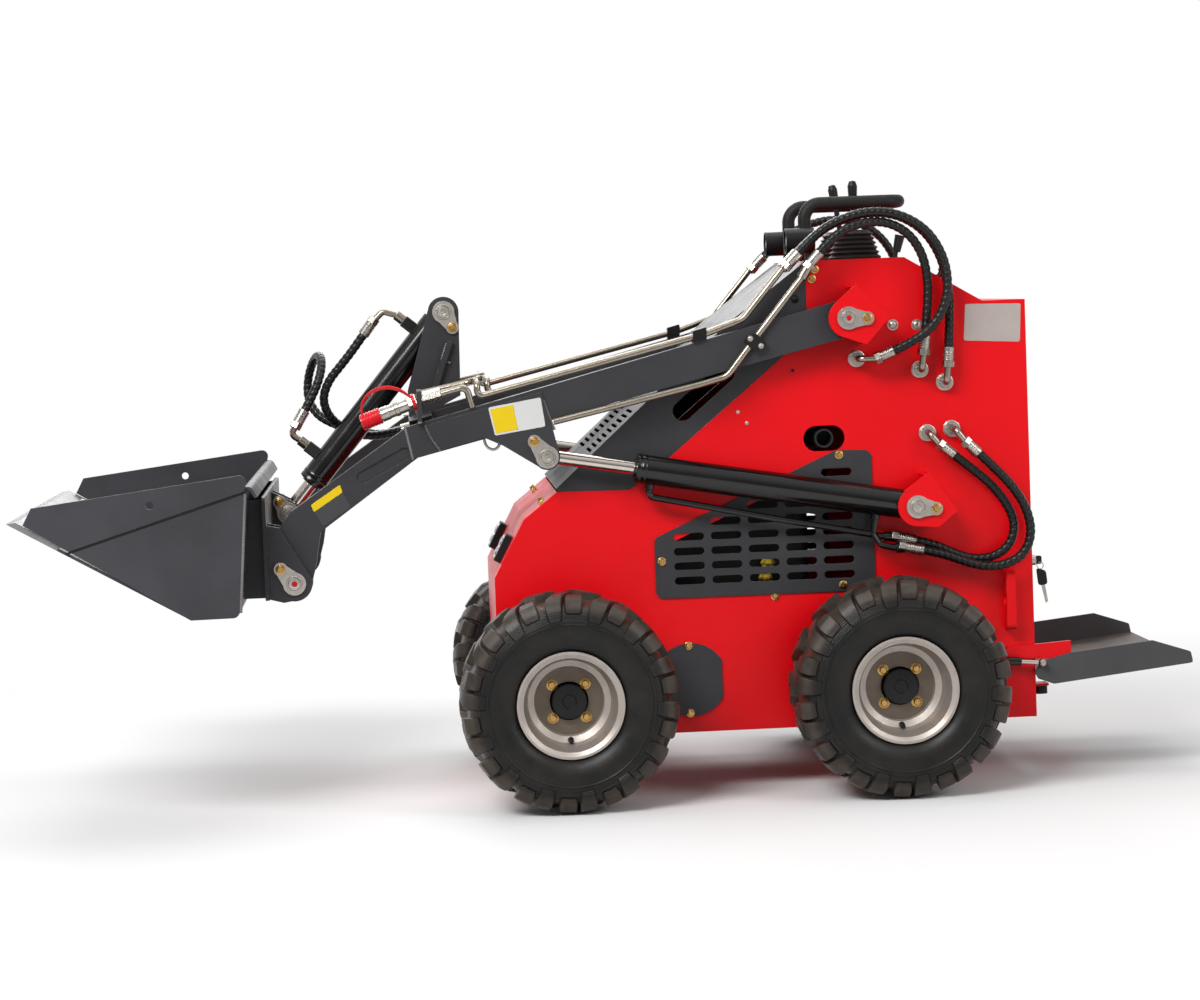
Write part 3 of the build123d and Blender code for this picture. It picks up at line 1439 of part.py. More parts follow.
# Hydraulic lines on the arms: pipes with their clamps, and the auxiliary couplers at the knee
COUPLER_PLATE_X = 389.0
COUPLER_PLATE_T = 9.0
COUPLER_PLATE_TOP = 880.0
COUPLER_AXIS = [(398.0, 857.0), (474.0, 830.0), (514.0, 816.0)]
COUPLER_YS = (ARM_Y - 13, ARM_Y + 19)
COUPLER_PLATE_YS = (ARM_Y - 26, ARM_Y + 34)
COUPLER_R = 13.0
CAP_R = 15.5
TAIL_NUT = [(389.0, 860.0), (347.0, 870.0)]
TAIL_BACK = 142.0
TAIL_H = 46.0
TAIL_BEND_R = 14.0
TOP_PIPE = [(-205.0, 972.0), (-288.0, 1000.0), (-375.0, 1103.0)]
TOP_PIPE_YS = (ARM_Y - 10, ARM_Y + 14)
TOP_PIPE_CORNERS = [(250.0, 866.0), (272.0, 861.0)]
CROSSING_YS = (120.0, 160.0)
RISER_H = 28.0
CROSSING_BENDS = [20, 20, 11, 11]
TOP_PIPE_BENDS = [180, 40]
ARM_FERRULE_L = 26.0
SIDE_PIPE = [(116.0, 803.0), (-192.0, 868.0), (-250.0, 883.0), (-315.0, 964.0), (-413.0, 1082.0)]
SIDE_PIPE_BENDS = [150, 40, 150]
SIDE_PIPE_Y = arm_out + PIPE_R + SEAT_GAP
PIPE_CLAMP_X = -196.0
PIPE_CLAMP_L = 27.0
PIPE_CLAMP_WALL = 5.0


def arm_top_z(x):
    """Height of the arm's top edge."""
    return beam_top[1] + (x - beam_top[0]) * (KNEE_TOP[1] - beam_top[1]) / (KNEE_TOP[0] - beam_top[0])


def in_3d(points, y):
    """Side-view points as points in space."""
    return [(x, y, z) for x, z in points]


def pipe_with_end(line, bends, hose):
    """Pipe with the nut and the hose ferrule at its far end."""
    lead = lead_in(hose, ARM_FERRULE_L)
    return [
        tube(line, PIPE_R, bends),
        straight(line[-1], lead, NUT_R),
        straight(lead, hose[0], FERRULE_R),
    ]


def top_pipe(corner, y, crossing_y, hose):
    """Pipe from the cross tube over to the arm, and along the arm to its hose."""
    foot = in_3d([cross_point(CROSS_DEPTH / 2, CROSS_H + SEAT_GAP)], crossing_y)
    above = in_3d([cross_point(CROSS_DEPTH / 2, CROSS_H + TAIL_H)], crossing_y)
    high = (corner[0], corner[1] + RISER_H)
    over = in_3d([high], crossing_y)
    line = foot + above + over + in_3d([high, corner, *TOP_PIPE], y)
    return pipe_with_end(line, CROSSING_BENDS + TOP_PIPE_BENDS, hose)


def pipe_clamp(near_y, far_y):
    """Block on the arm's top edge around the pipes between two faces."""
    front_x = PIPE_CLAMP_X + PIPE_CLAMP_L / 2
    rear_x = PIPE_CLAMP_X - PIPE_CLAMP_L / 2
    top_z = TOP_PIPE[0][1] + PIPE_R + PIPE_CLAMP_WALL
    with BuildPart() as block:
        with BuildSketch(at_y(near_y)):
            with BuildLine():
                Polyline(
                    (rear_x, arm_top_z(rear_x)),
                    (front_x, arm_top_z(front_x)),
                    (front_x, top_z - PIPE_CLAMP_WALL),
                    (rear_x, top_z),
                    close=True,
                )
            make_face()
        extrude(amount=near_y - far_y)
    return block.part


clamp_side = PIPE_R + PIPE_CLAMP_WALL
inner_line, outer_line = [
    top_pipe(corner, y, crossing_y, HOSES[name])
    for corner, y, crossing_y, name in zip(
        TOP_PIPE_CORNERS, TOP_PIPE_YS, CROSSING_YS, ("arm_hose_inner", "arm_hose_outer")
    )
]
side_line = pipe_with_end(in_3d(SIDE_PIPE, SIDE_PIPE_Y), SIDE_PIPE_BENDS, HOSES["arm_hose_side"])
near_clamp = pipe_clamp(TOP_PIPE_YS[1] + clamp_side, TOP_PIPE_YS[0] - clamp_side + 2)
far_clamp = pipe_clamp(clamp_side - TOP_PIPE_YS[0] - 2, -TOP_PIPE_YS[0] - clamp_side)

with BuildPart() as arm_pipes:
    add(inner_line)
    add(outer_line)
    add(side_line)
    for piece in inner_line:
        mirror(piece, about=Plane.XZ)
    add([near_clamp, far_clamp])
save(arm_pipes, "arm_pipes")

coupler_bodies = []
for y in COUPLER_YS:
    near, middle, far = in_3d(COUPLER_AXIS, y)
    coupler_bodies.append(straight(near, middle, COUPLER_R))
    coupler_bodies.append(straight(middle, far, CAP_R))
    nut_front, nut_rear = in_3d(TAIL_NUT, y)
    coupler_bodies.append(straight(nut_front, nut_rear, NUT_R))
    tail = [along(KNEE_TOP, beam_top, TAIL_BACK, -height) for height in (TAIL_H, SEAT_GAP)]
    coupler_bodies.append(tube([nut_rear, *in_3d(tail, y)], PIPE_R, TAIL_BEND_R))

with BuildPart() as aux_couplers:
    with BuildSketch(at_y(COUPLER_PLATE_YS[1])):
        with BuildLine():
            Polyline(
                (COUPLER_PLATE_X, arm_top_z(COUPLER_PLATE_X)),
                (COUPLER_PLATE_X + COUPLER_PLATE_T, arm_top_z(COUPLER_PLATE_X + COUPLER_PLATE_T)),
                (COUPLER_PLATE_X + COUPLER_PLATE_T, COUPLER_PLATE_TOP),
                (COUPLER_PLATE_X, COUPLER_PLATE_TOP),
                close=True,
            )
        make_face()
    extrude(amount=COUPLER_PLATE_YS[1] - COUPLER_PLATE_YS[0])
    add(coupler_bodies)
save(aux_couplers, "aux_couplers")

# Hose ends on the body: elbow and ferrule in a round boss on the side plate
BOSSES = {
    "arm_hose_inner": (-718.0, 851.0),
    "arm_hose_side": (-666.0, 880.0),
    "arm_hose_outer": (-532.0, 908.0),
    "lift_hose_front": (-678.0, 745.0),
    "lift_hose_rear": (-730.0, 752.0),
}
BODY_FERRULE_L = 37.0


def hose_end(name, boss):
    """Boss on the side plate, and the elbow and ferrule that hold a hose's fixed end."""
    ending = HOSES[name][::-1]
    lead = lead_in(ending, BODY_FERRULE_L)
    foot = (boss[0], BODY_HALF, boss[1])
    return [
        straight(foot, (boss[0], BODY_HALF + BANJO_OUT, boss[1]), BANJO_R),
        tube([foot, (boss[0], lead[1], boss[1]), lead], PIPE_R, ELBOW_BEND_R),
        straight(lead, ending[0], FERRULE_R),
    ]


left_ends = [hose_end(name, boss) for name, boss in BOSSES.items()]

with BuildPart() as hose_fittings:
    for pieces in left_ends:
        add(pieces)
    for piece in left_ends[0]:
        mirror(piece, about=Plane.XZ)
save(hose_fittings, "hose_fittings")

# Hoses
for name, points in HOSES.items():
    radii = hose_radii(points)
    print(name, "bend radii", [round(radius) for radius in radii])
    hose_solid = tube(points, HOSE_R, radii)
    with BuildPart() as hose:
        add(hose_solid)
    save(hose, name)
    if name == "arm_hose_inner":
        with BuildPart() as far_hose:
            mirror(hose_solid, about=Plane.XZ)
        save(far_hose, "right_arm_hose")
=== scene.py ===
import math

import bpy
from mathutils import Matrix, Vector


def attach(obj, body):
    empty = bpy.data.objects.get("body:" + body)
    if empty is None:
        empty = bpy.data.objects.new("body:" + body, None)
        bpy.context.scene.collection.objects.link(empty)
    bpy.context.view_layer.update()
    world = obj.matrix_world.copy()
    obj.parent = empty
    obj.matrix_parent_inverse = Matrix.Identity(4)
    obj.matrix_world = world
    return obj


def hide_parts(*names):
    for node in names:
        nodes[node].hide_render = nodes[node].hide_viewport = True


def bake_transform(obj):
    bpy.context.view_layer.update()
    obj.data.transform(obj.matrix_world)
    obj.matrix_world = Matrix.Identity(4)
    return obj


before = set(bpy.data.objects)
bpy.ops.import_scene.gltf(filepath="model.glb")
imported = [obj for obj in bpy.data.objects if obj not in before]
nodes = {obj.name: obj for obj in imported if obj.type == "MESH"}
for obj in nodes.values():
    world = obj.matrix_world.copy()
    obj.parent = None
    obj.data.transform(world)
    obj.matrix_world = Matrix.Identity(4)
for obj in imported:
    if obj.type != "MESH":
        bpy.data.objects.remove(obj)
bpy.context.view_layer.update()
scene = bpy.context.scene
scene.view_settings.view_transform = "Standard"
MM = 1000  # millimetres in a metre


def at(x, y, z):
    """Point in metres from millimetres."""
    return Vector((x, y, z)) / MM


# Camera at the photograph's place; angles in radians
IMAGE_W_PX = 1200
FOCAL_PX = 3200.6
SENSOR_MM = 36
FAR_CLIP = 200
CAMERA_AT = (0.4184, 7.0028, 1.0771)
YAW, PITCH, ROLL = 0.059, 0.0661, -0.0381
ahead = Vector((-math.sin(YAW), -math.cos(YAW), 0))
right = Vector((-math.cos(YAW), math.sin(YAW), 0))
up = Vector((0, 0, 1))
look = ahead * math.cos(PITCH) - up * math.sin(PITCH)
top = ahead * math.sin(PITCH) + up * math.cos(PITCH)
cam_x = right * math.cos(ROLL) + top * math.sin(ROLL)
cam_y = top * math.cos(ROLL) - right * math.sin(ROLL)
camera = bpy.data.objects.new("camera", bpy.data.cameras.new("camera"))
scene.collection.objects.link(camera)
camera.data.sensor_width = SENSOR_MM
camera.data.lens = FOCAL_PX / IMAGE_W_PX * SENSOR_MM
camera.data.clip_end = FAR_CLIP
facing = Matrix((cam_x, cam_y, -look)).transposed().to_4x4()
camera.matrix_world = Matrix.Translation(CAMERA_AT) @ facing
scene.camera = camera

# Materials
MIX_A, MIX_B, MIX_OUT = 6, 7, 2  # colour sockets of the Mix node
BEVEL_SAMPLES = 4
FLAT_DOT, EDGE_DOT = 0.99, 0.8  # dot product of the rounded and the true normal on flats and edges


class Nodes:
    """Short ways to add nodes to a tree and join them."""

    def __init__(self, tree, coords):
        self.tree = tree
        self.coords = tree.nodes.new("ShaderNodeTexCoord").outputs[coords]

    def node(self, kind, **settings):
        made = self.tree.nodes.new(kind)
        for key, value in settings.items():
            setattr(made, key, value)
        return made

    def put(self, socket, value):
        """Links an output to a socket, or sets a plain value on it."""
        if hasattr(value, "is_output"):
            self.tree.links.new(value, socket)
        else:
            socket.default_value = value

    def noise(self, scale, detail=3.0, rough=0.55, stretch=None):
        coords = self.coords
        if stretch:
            mapping = self.node("ShaderNodeMapping")
            mapping.inputs["Scale"].default_value = stretch
            self.put(mapping.inputs["Vector"], coords)
            coords = mapping.outputs[0]
        made = self.node("ShaderNodeTexNoise")
        self.put(made.inputs["Vector"], coords)
        made.inputs["Scale"].default_value = scale
        made.inputs["Detail"].default_value = detail
        made.inputs["Roughness"].default_value = rough
        return made.outputs["Fac"]

    def fit(self, value, low, high, to_low=0.0, to_high=1.0):
        """A value's range from low to high, mapped to another range and held within it."""
        made = self.node("ShaderNodeMapRange")
        self.put(made.inputs["Value"], value)
        limits = {"From Min": low, "From Max": high, "To Min": to_low, "To Max": to_high}
        for key, number in limits.items():
            made.inputs[key].default_value = number
        return made.outputs[0]

    def math(self, operation, a, b=0.0):
        made = self.node("ShaderNodeMath", operation=operation)
        self.put(made.inputs[0], a)
        self.put(made.inputs[1], b)
        return made.outputs[0]

    def mix(self, factor, a, b):
        """Colour between a and b, each a colour or an output."""
        made = self.node("ShaderNodeMix", data_type="RGBA")
        self.put(made.inputs["Factor"], factor)
        for index, colour in ((MIX_A, a), (MIX_B, b)):
            self.put(made.inputs[index], colour if hasattr(colour, "is_output") else (*colour, 1))
        return made.outputs[MIX_OUT]

    def axis(self, index):
        """One of the coordinates, 0 to 2."""
        made = self.node("ShaderNodeSeparateXYZ")
        self.put(made.inputs[0], self.coords)
        return made.outputs[index]


class Paint(Nodes):
    """A procedural material: a Principled shader and the nodes that feed it."""

    def __init__(self, name, colour, rough, metal=0.0, spec=0.5):
        self.mat = bpy.data.materials.new(name)
        self.mat.use_nodes = True
        super().__init__(self.mat.node_tree, "Object")
        self.shader = self.tree.nodes["Principled BSDF"]
        self.shader.inputs["Base Color"].default_value = (*colour, 1)
        self.shader.inputs["Roughness"].default_value = rough
        self.shader.inputs["Metallic"].default_value = metal
        self.shader.inputs["Specular IOR Level"].default_value = spec

    def normal(self):
        return self.node("ShaderNodeNewGeometry").outputs["Normal"]

    def rounded_normal(self, radius):
        """Normal of a surface whose edges are rounded by a radius."""
        bevel = self.node("ShaderNodeBevel", samples=BEVEL_SAMPLES)
        bevel.inputs["Radius"].default_value = radius
        return bevel.outputs[0]

    def edges(self, radius):
        """1 on convex and concave edges within a radius, 0 elsewhere."""
        dot = self.node("ShaderNodeVectorMath", operation="DOT_PRODUCT")
        self.put(dot.inputs[0], self.rounded_normal(radius))
        self.put(dot.inputs[1], self.normal())
        return self.fit(dot.outputs["Value"], FLAT_DOT, EDGE_DOT)

    def set(self, colour=None, rough=None, bump=None, strength=0.2, depth=0.001, round_edge=0.0):
        """Feeds colour, roughness and bump to the shader, and returns the material."""
        if colour is not None:
            self.put(self.shader.inputs["Base Color"], colour)
        if rough is not None:
            self.put(self.shader.inputs["Roughness"], rough)
        if bump is not None:
            made = self.node("ShaderNodeBump")
            made.inputs["Strength"].default_value = strength
            made.inputs["Distance"].default_value = depth
            self.put(made.inputs["Height"], bump)
            if round_edge:
                self.put(made.inputs["Normal"], self.rounded_normal(round_edge))
            self.put(self.shader.inputs["Normal"], made.outputs[0])
        return self.mat


def shade(colour, factor):
    """Darker or lighter tone of a colour."""
    return tuple(c * factor for c in colour)


def painted(name, colour, rough, worn, spread=0.12, peel=0.12, spec=0.25, soil=None):
    """Sprayed steel: cloudy colour, dust, worn edges, orange peel, and soil on what faces up."""
    p = Paint(name, colour, rough, spec=spec)
    cloud = p.fit(p.noise(scale=5, detail=4), 0.35, 0.65)
    body = p.mix(cloud, shade(colour, 1 - spread), shade(colour, 1 + spread))
    dust = p.fit(p.noise(scale=220, detail=5, rough=0.7), 0.62, 0.78, 0, 0.2)
    body = p.mix(dust, body, worn)
    patchy = p.fit(p.noise(scale=60, detail=4, rough=0.7), 0.5, 0.64)
    body = p.mix(p.math("MULTIPLY", p.edges(0.002), patchy), body, worn)
    if soil:
        split = p.node("ShaderNodeSeparateXYZ")
        p.put(split.inputs[0], p.normal())
        level = p.fit(split.outputs["Z"], 0.8, 0.97)
        patch = p.fit(p.noise(scale=16, detail=6, rough=0.65, stretch=(1, 0.4, 1)), 0.38, 0.6)
        body = p.mix(p.math("MULTIPLY", level, patch), body, soil)
    gloss = p.fit(p.noise(scale=14, detail=5, rough=0.6), 0.3, 0.7, rough - 0.06, rough + 0.09)
    grain = p.noise(scale=420, detail=2)
    return p.set(body, gloss, grain, strength=peel, depth=0.0006, round_edge=0.0016)


RED = (0.8, 0.0015, 0.006)
red_paint = painted("red_paint", RED, 0.33, (0.82, 0.05, 0.05), spread=0.03)
dark_paint = painted(
    "dark_paint", (0.038, 0.037, 0.0405), 0.36, (0.14, 0.14, 0.15), spread=0.14)
bucket_paint = painted(
    "bucket_paint", (0.051, 0.0495, 0.056), 0.38, (0.2, 0.2, 0.21), spread=0.16)
tray_paint = painted(
    "tray_paint", (0.07, 0.069, 0.072), 0.46, (0.15, 0.15, 0.16), soil=(0.12, 0.092, 0.068))
black_paint = painted(
    "black_paint", (0.004, 0.0037, 0.0035), 0.16, (0.03, 0.028, 0.026), peel=0.04, spec=0.5)
weld_paint = painted(
    "weld_paint", (0.17, 0.165, 0.16), 0.3, (0.6, 0.58, 0.56), spread=0.4, peel=0.5, spec=0.5)
cap_red = painted("cap_red", (0.68, 0.004, 0.014), 0.3, (0.72, 0.06, 0.06), spread=0.06)
label_white = painted(
    "label_white", (0.66, 0.66, 0.65), 0.34, (0.5, 0.49, 0.47), spread=0.04)
label_yellow = painted(
    "label_yellow", (0.8, 0.56, 0.01), 0.34, (0.6, 0.45, 0.08), spread=0.04)
label_film = painted(
    "label_film", (0.06, 0.06, 0.064), 0.25, (0.12, 0.12, 0.12), spread=0.05)


def metal(name, colour, rough, grime=0.35, scratch=None, scale=30, metallic=1.0):
    """Bare or plated metal with smudges and fine scratches."""
    p = Paint(name, colour, rough, metal=metallic)
    smudge = p.fit(p.noise(scale, detail=5, rough=0.65), 0.4, 0.75, 0, grime)
    body = p.mix(smudge, colour, shade(colour, 0.45))
    lines = p.noise(scale=260, detail=3, rough=0.6, stretch=scratch)
    gloss = p.fit(lines, 0.3, 0.7, max(rough - 0.08, 0.03), rough + 0.1)
    return p.set(body, gloss, lines, strength=0.08, depth=0.0004, round_edge=0.0008)


chrome = metal("chrome_rod", (0.62, 0.56, 0.51), 0.12, 0.15, (1, 12, 1))
zinc = metal("zinc_steel", (0.5, 0.46, 0.42), 0.36, 0.5)
nickel = metal("nickel_pipe", (0.33, 0.29, 0.235), 0.24, 0.35, (8, 1, 8))
steel = metal("ferrule_steel", (0.43, 0.4, 0.36), 0.26, 0.5, scale=90)
gold = metal("gold_zinc", (0.55, 0.33, 0.11), 0.28, 0.5, scale=120)
brass = metal("brass", (0.62, 0.44, 0.05), 0.3, 0.5, scale=120)
plate_steel = metal("plate_steel", (0.5, 0.43, 0.4), 0.42, 0.15, (1, 1, 20), metallic=0.4)
rim_silver = metal("rim_silver", (0.46, 0.41, 0.37), 0.42, 0.3, metallic=0.6)
# Wheel disc: brown from dirt, and darker than the rim as painted shade of the sunk centre
rim_disc_dirt_and_shade = metal("rim_disc_dirt_and_shade", (0.17, 0.135, 0.105), 0.46, 0.5, metallic=0.6)
cast_iron = metal("engine_iron", (0.02, 0.019, 0.018), 0.6, 0.5, metallic=0.5)
edge_steel = metal("edge_steel", (0.3, 0.295, 0.3), 0.4, 0.6, (4, 1, 4), metallic=0.7)
lens = metal("lamp_lens", (0.5, 0.52, 0.54), 0.12, 0.1, scale=200, metallic=0.7)


def rubber(name, colour, rough, dirt, grain=700, depth=0.25, ribs=None):
    """Rubber with dust in its grain; ribs are fine rings (from radius, to radius, pitch)."""
    p = Paint(name, colour, rough, spec=0.28)
    film = p.fit(p.noise(scale=9, detail=5, rough=0.65), 0.42, 0.72, 0, 0.55)
    speck = p.fit(p.noise(scale=160, detail=4, rough=0.7), 0.55, 0.75, 0, 0.4)
    soil = p.math("MAXIMUM", film, speck)
    relief = p.noise(grain, detail=3)
    if ribs:
        inner, outer, pitch = ribs
        x, z = p.axis(0), p.axis(2)
        square = p.math("ADD", p.math("MULTIPLY", x, x), p.math("MULTIPLY", z, z))
        radius = p.math("SQRT", square)
        inside = p.math("LESS_THAN", radius, outer)
        inside = p.math("MULTIPLY", inside, p.math("GREATER_THAN", radius, inner))
        wave = p.math("SINE", p.math("MULTIPLY", radius, 2 * math.pi / pitch))
        relief = p.math("ADD", relief, p.math("MULTIPLY", wave, inside))
        patch = p.fit(p.noise(scale=22, detail=5, rough=0.65), 0.3, 0.62, 0.35, 1)
        tread = p.math("MULTIPLY", p.fit(radius, 0.186, 0.205), patch)
        soil = p.math("MAXIMUM", p.math("MULTIPLY", soil, 0.4), tread)
    body = p.mix(soil, colour, dirt)
    gloss = p.fit(p.noise(scale=30, detail=4), 0.3, 0.7, rough - 0.08, rough + 0.1)
    return p.set(body, gloss, relief, strength=depth, depth=0.0005)


tyre_rubber = rubber(
    "tyre_rubber", (0.0075, 0.0072, 0.0068), 0.33, (0.07, 0.055, 0.044), depth=0.8,
    ribs=(0.1745, 0.197, 0.0038))
hose_rubber = rubber("hose_rubber", (0.006, 0.0058, 0.0056), 0.28, (0.02, 0.019, 0.018))
soft_rubber = rubber("soft_rubber", (0.0075, 0.0073, 0.007), 0.55, (0.02, 0.019, 0.018), 900)
black_plastic = rubber(
    "black_plastic", (0.006, 0.006, 0.006), 0.36, (0.015, 0.015, 0.015), 1100, 0.15)

# CAD nodes by finish
FINISH = {
    red_paint: ["left_side_plate", "right_side_plate", "front_panel", "console_top", "rear_panel",
                "belly_plate", "pivot_brackets", "platform_arms"],
    dark_paint: ["side_covers", "engine_hood", "left_arm", "right_arm", "cross_tube",
                 "attach_plate"],
    bucket_paint: ["bucket_shell", "bucket_sides", "bucket_frame"],
    edge_steel: ["cutting_edge"],
    tray_paint: ["platform"],
    black_paint: ["left_lift_barrel", "right_lift_barrel", "tilt_barrel", "left_lift_pipes",
                  "right_lift_pipes", "platform_springs", "wheel_drives"],
    chrome: ["left_lift_rod", "right_lift_rod", "tilt_rod"],
    zinc: ["chassis_pins", "arm_pins", "bucket_pins"],
    nickel: ["arm_pipes", "aux_couplers", "hose_fittings", "tilt_fittings"],
    rim_silver: ["front_left_rim", "front_right_rim", "rear_left_rim", "rear_right_rim"],
    cast_iron: ["engine"],
    soft_rubber: ["lever_boots", "platform_buffers", "handlebar"],
    black_plastic: ["control_levers", "lamps"],
}
# Angles in degrees above which an edge is shaded sharp
CAD_SHARP, TYRE_SHARP, PIECE_SHARP = 28, 32, 35
for finish, names in FINISH.items():
    for name in names:
        mesh = nodes[name].data
        mesh.materials.clear()
        mesh.materials.append(finish)
        mesh.shade_smooth()
        mesh.set_sharp_from_angle(angle=math.radians(CAD_SHARP))


# Mesh building
def ring_faces(rows, steps):
    """Faces of a skin over rings of points, without its ends."""
    return [[k * steps + i, k * steps + (i + 1) % steps,
             (k + 1) * steps + (i + 1) % steps, (k + 1) * steps + i]
            for k in range(rows - 1) for i in range(steps)]


def end_faces(rows, steps):
    """The two faces that close a skin over rings of points."""
    last = (rows - 1) * steps
    return [list(range(steps))[::-1], list(range(last, last + steps))]


class Build:
    """Vertices and faces of one piece, gathered from simple forms in metres."""

    def __init__(self):
        self.verts = []
        self.faces = []

    def add(self, verts, faces):
        base = len(self.verts)
        self.verts += [Vector(v) for v in verts]
        self.faces += [[base + i for i in face] for face in faces]
        return self

    def lathe(self, profile, origin, axis, steps=24, turn=0.0):
        """Revolves (radius, height) points about an axis; turn is a share of one step."""
        axis = Vector(axis).normalized()
        side = axis.orthogonal().normalized()
        if abs(axis.y) > 0.9:
            side = Vector((1, 0, 0))
        other = axis.cross(side)
        verts = []
        for radius, height in profile:
            for i in range(steps):
                a = 2 * math.pi * (i + turn) / steps
                ring = side * math.cos(a) + other * math.sin(a)
                verts.append(Vector(origin) + axis * height + ring * radius)
        rows = len(profile)
        return self.add(verts, ring_faces(rows, steps) + end_faces(rows, steps))

    def tube(self, path, radius, steps=16, swell=None):
        """Tube along a path; swell(distance, angle) adds to its radius."""
        verts = []
        path = [Vector(p) for p in path]
        way = (path[1] - path[0]).normalized()
        side = way.orthogonal().normalized()
        distance = 0.0
        for k, point in enumerate(path):
            chord = path[min(k + 1, len(path) - 1)] - path[max(k - 1, 0)]
            bend = way.rotation_difference(chord.normalized())
            side = (bend @ side).normalized()
            way = chord.normalized()
            other = way.cross(side)
            if k:
                distance += (point - path[k - 1]).length
            for i in range(steps):
                a = 2 * math.pi * i / steps
                r = radius + (swell(distance, a) if swell else 0)
                verts.append(point + (side * math.cos(a) + other * math.sin(a)) * r)
        rows = len(path)
        return self.add(verts, ring_faces(rows, steps) + end_faces(rows, steps))

    def prism(self, outline, origin, across, upward, thick):
        """Plate with an outline of (across, upward) points, thickened along their normal."""
        across, upward = Vector(across).normalized(), Vector(upward).normalized()
        normal = across.cross(upward)
        count = len(outline)
        low = [Vector(origin) + across * a + upward * b for a, b in outline]
        high = [v + normal * thick for v in low]
        faces = [list(range(count))[::-1], list(range(count, 2 * count))]
        faces += [[i, (i + 1) % count, count + (i + 1) % count, count + i] for i in range(count)]
        return self.add(low + high, faces)

    def mesh(self, name, sharp=PIECE_SHARP):
        made = bpy.data.meshes.new(name)
        made.from_pydata(self.verts, [], self.faces)
        made.validate()
        made.shade_smooth()
        made.set_sharp_from_angle(angle=math.radians(sharp))
        return made

    def piece(self, name, mat):
        """The object of this mesh in the scene, with its material."""
        made = bpy.data.objects.new(name, self.mesh(name))
        scene.collection.objects.link(made)
        made.data.materials.append(mat)
        return made


# Hoses: spiral guarded rubber between the fittings, along the CAD routes
HOSE_D = 0.019
HOSE_STEPS = 20
HOSES = {
    "arm_hose_inner": [
        (-407, 312, 1132), (-448, 311, 1172), (-503, 310, 1201), (-566, 309, 1215),
        (-628, 309, 1207), (-682, 309, 1172), (-715, 310, 1116), (-728, 311, 1051),
        (-728.5, 312, 986), (-724, 312, 921),
    ],
    "arm_hose_outer": [
        (-407, 336, 1132), (-449, 337, 1175), (-505, 339, 1204), (-568, 341, 1217),
        (-630, 343, 1206), (-684, 344, 1170), (-716, 345, 1112), (-723, 345, 1048),
        (-704, 343, 989), (-658, 338, 944), (-600, 334, 921),
    ],
    "arm_hose_side": [
        (-450, 349.3, 1131), (-486, 349, 1170), (-538, 345, 1192), (-594, 338, 1194),
        (-642, 330, 1170), (-673, 323, 1125), (-684, 318, 1068), (-681, 316, 1008),
        (-674, 316, 948),
    ],
    "lift_hose_front": [
        (-637, 316, 521), (-679, 316, 511), (-720, 316, 490), (-764, 316, 475),
        (-809, 316, 479), (-843, 316, 504), (-854, 316, 546), (-838, 316, 590),
        (-803, 316, 635), (-762, 316, 670), (-725, 316, 700),
    ],
    "lift_hose_rear": [
        (-649, 338, 502), (-692, 338, 493), (-735, 338, 475), (-780, 338, 461),
        (-826, 338, 462), (-866, 338, 482), (-885, 338, 524), (-877, 338, 576),
        (-850, 338, 624), (-812, 338, 666), (-774, 338, 703),
    ],
    "tilt_hose_upper": [
        (505, 0, 998), (532, -1, 962), (560, -3, 929), (588, -7, 897), (603, -14, 857),
        (590, -29, 817), (557, -48, 788), (515, -61, 772), (471.5, -64, 771.6),
        (429.7, -64, 781.6),
    ],
    "tilt_hose_lower": [
        (644, 0, 832), (622, -6, 868), (604, -16, 912), (601, -50, 944), (610, -96, 955),
        (625, -138, 936), (637, -158, 899), (639, -154, 856), (620, -138, 820),
        (585, -120, 799), (545, -105, 786), (508, -96, 776), (471.5, -92, 771.6),
        (429.7, -92, 781.6),
    ],
}
HOSES["right_arm_hose"] = [(x, -y, z) for x, y, z in HOSES["arm_hose_inner"]]
ARM, BUCKET = "loader_arm", "bucket"
MOVING_END = {"arm": ARM, "right": ARM, "lift": "left_lift_barrel", "tilt": "tilt_barrel"}
# Way along which a hose would stop following its moving end, in degrees from +X to +Z, and how far
# past its ends the turn would be spread, as a share of its reach; these hoses would kink or sweep
# into the rear tyre along the straight line between their ends. The hose loop only works out the
# reach along this way; the hoses are not joined to their moving ends.
BLEND_WAY = {
    "arm_hose_inner": (198, 0.2), "right_arm_hose": (198, 0.2), "arm_hose_outer": (213, 0.2),
    "arm_hose_side": (222, 0.2), "lift_hose_front": (166, 0), "lift_hose_rear": (166, 0),
}
GUARD_PITCH = 0.013
GUARD_BAND = 0.85  # share of the pitch that the band covers
GUARD_HEIGHT, GUARD_SUNK = 0.0011, 0.0007
SPLINE_STEPS = 48


def guard(distance, angle):
    """Rounded band of the spiral guard, with a groove between its turns."""
    phase = (distance / GUARD_PITCH - angle / (2 * math.pi)) % 1
    crown = max(0.0, math.sin(math.pi * min(phase / GUARD_BAND, 1))) ** 0.4
    return GUARD_HEIGHT * crown - GUARD_SUNK


def spline_points(points):
    """Points in metres of the smooth line along a route in millimetres."""
    curve = bpy.data.curves.new("route", "CURVE")
    curve.dimensions = "3D"
    curve.resolution_u = SPLINE_STEPS
    line = curve.splines.new("NURBS")
    line.points.add(len(points) - 1)
    for knot, point in zip(line.points, points):
        knot.co = (*at(*point), 1)
    line.order_u = 3
    line.use_endpoint_u = True
    holder = bpy.data.objects.new("route", curve)
    scene.collection.objects.link(holder)
    mesh = bpy.data.meshes.new_from_object(holder)
    path = [v.co.copy() for v in mesh.vertices]
    bpy.data.objects.remove(holder)
    bpy.data.meshes.remove(mesh)
    return path


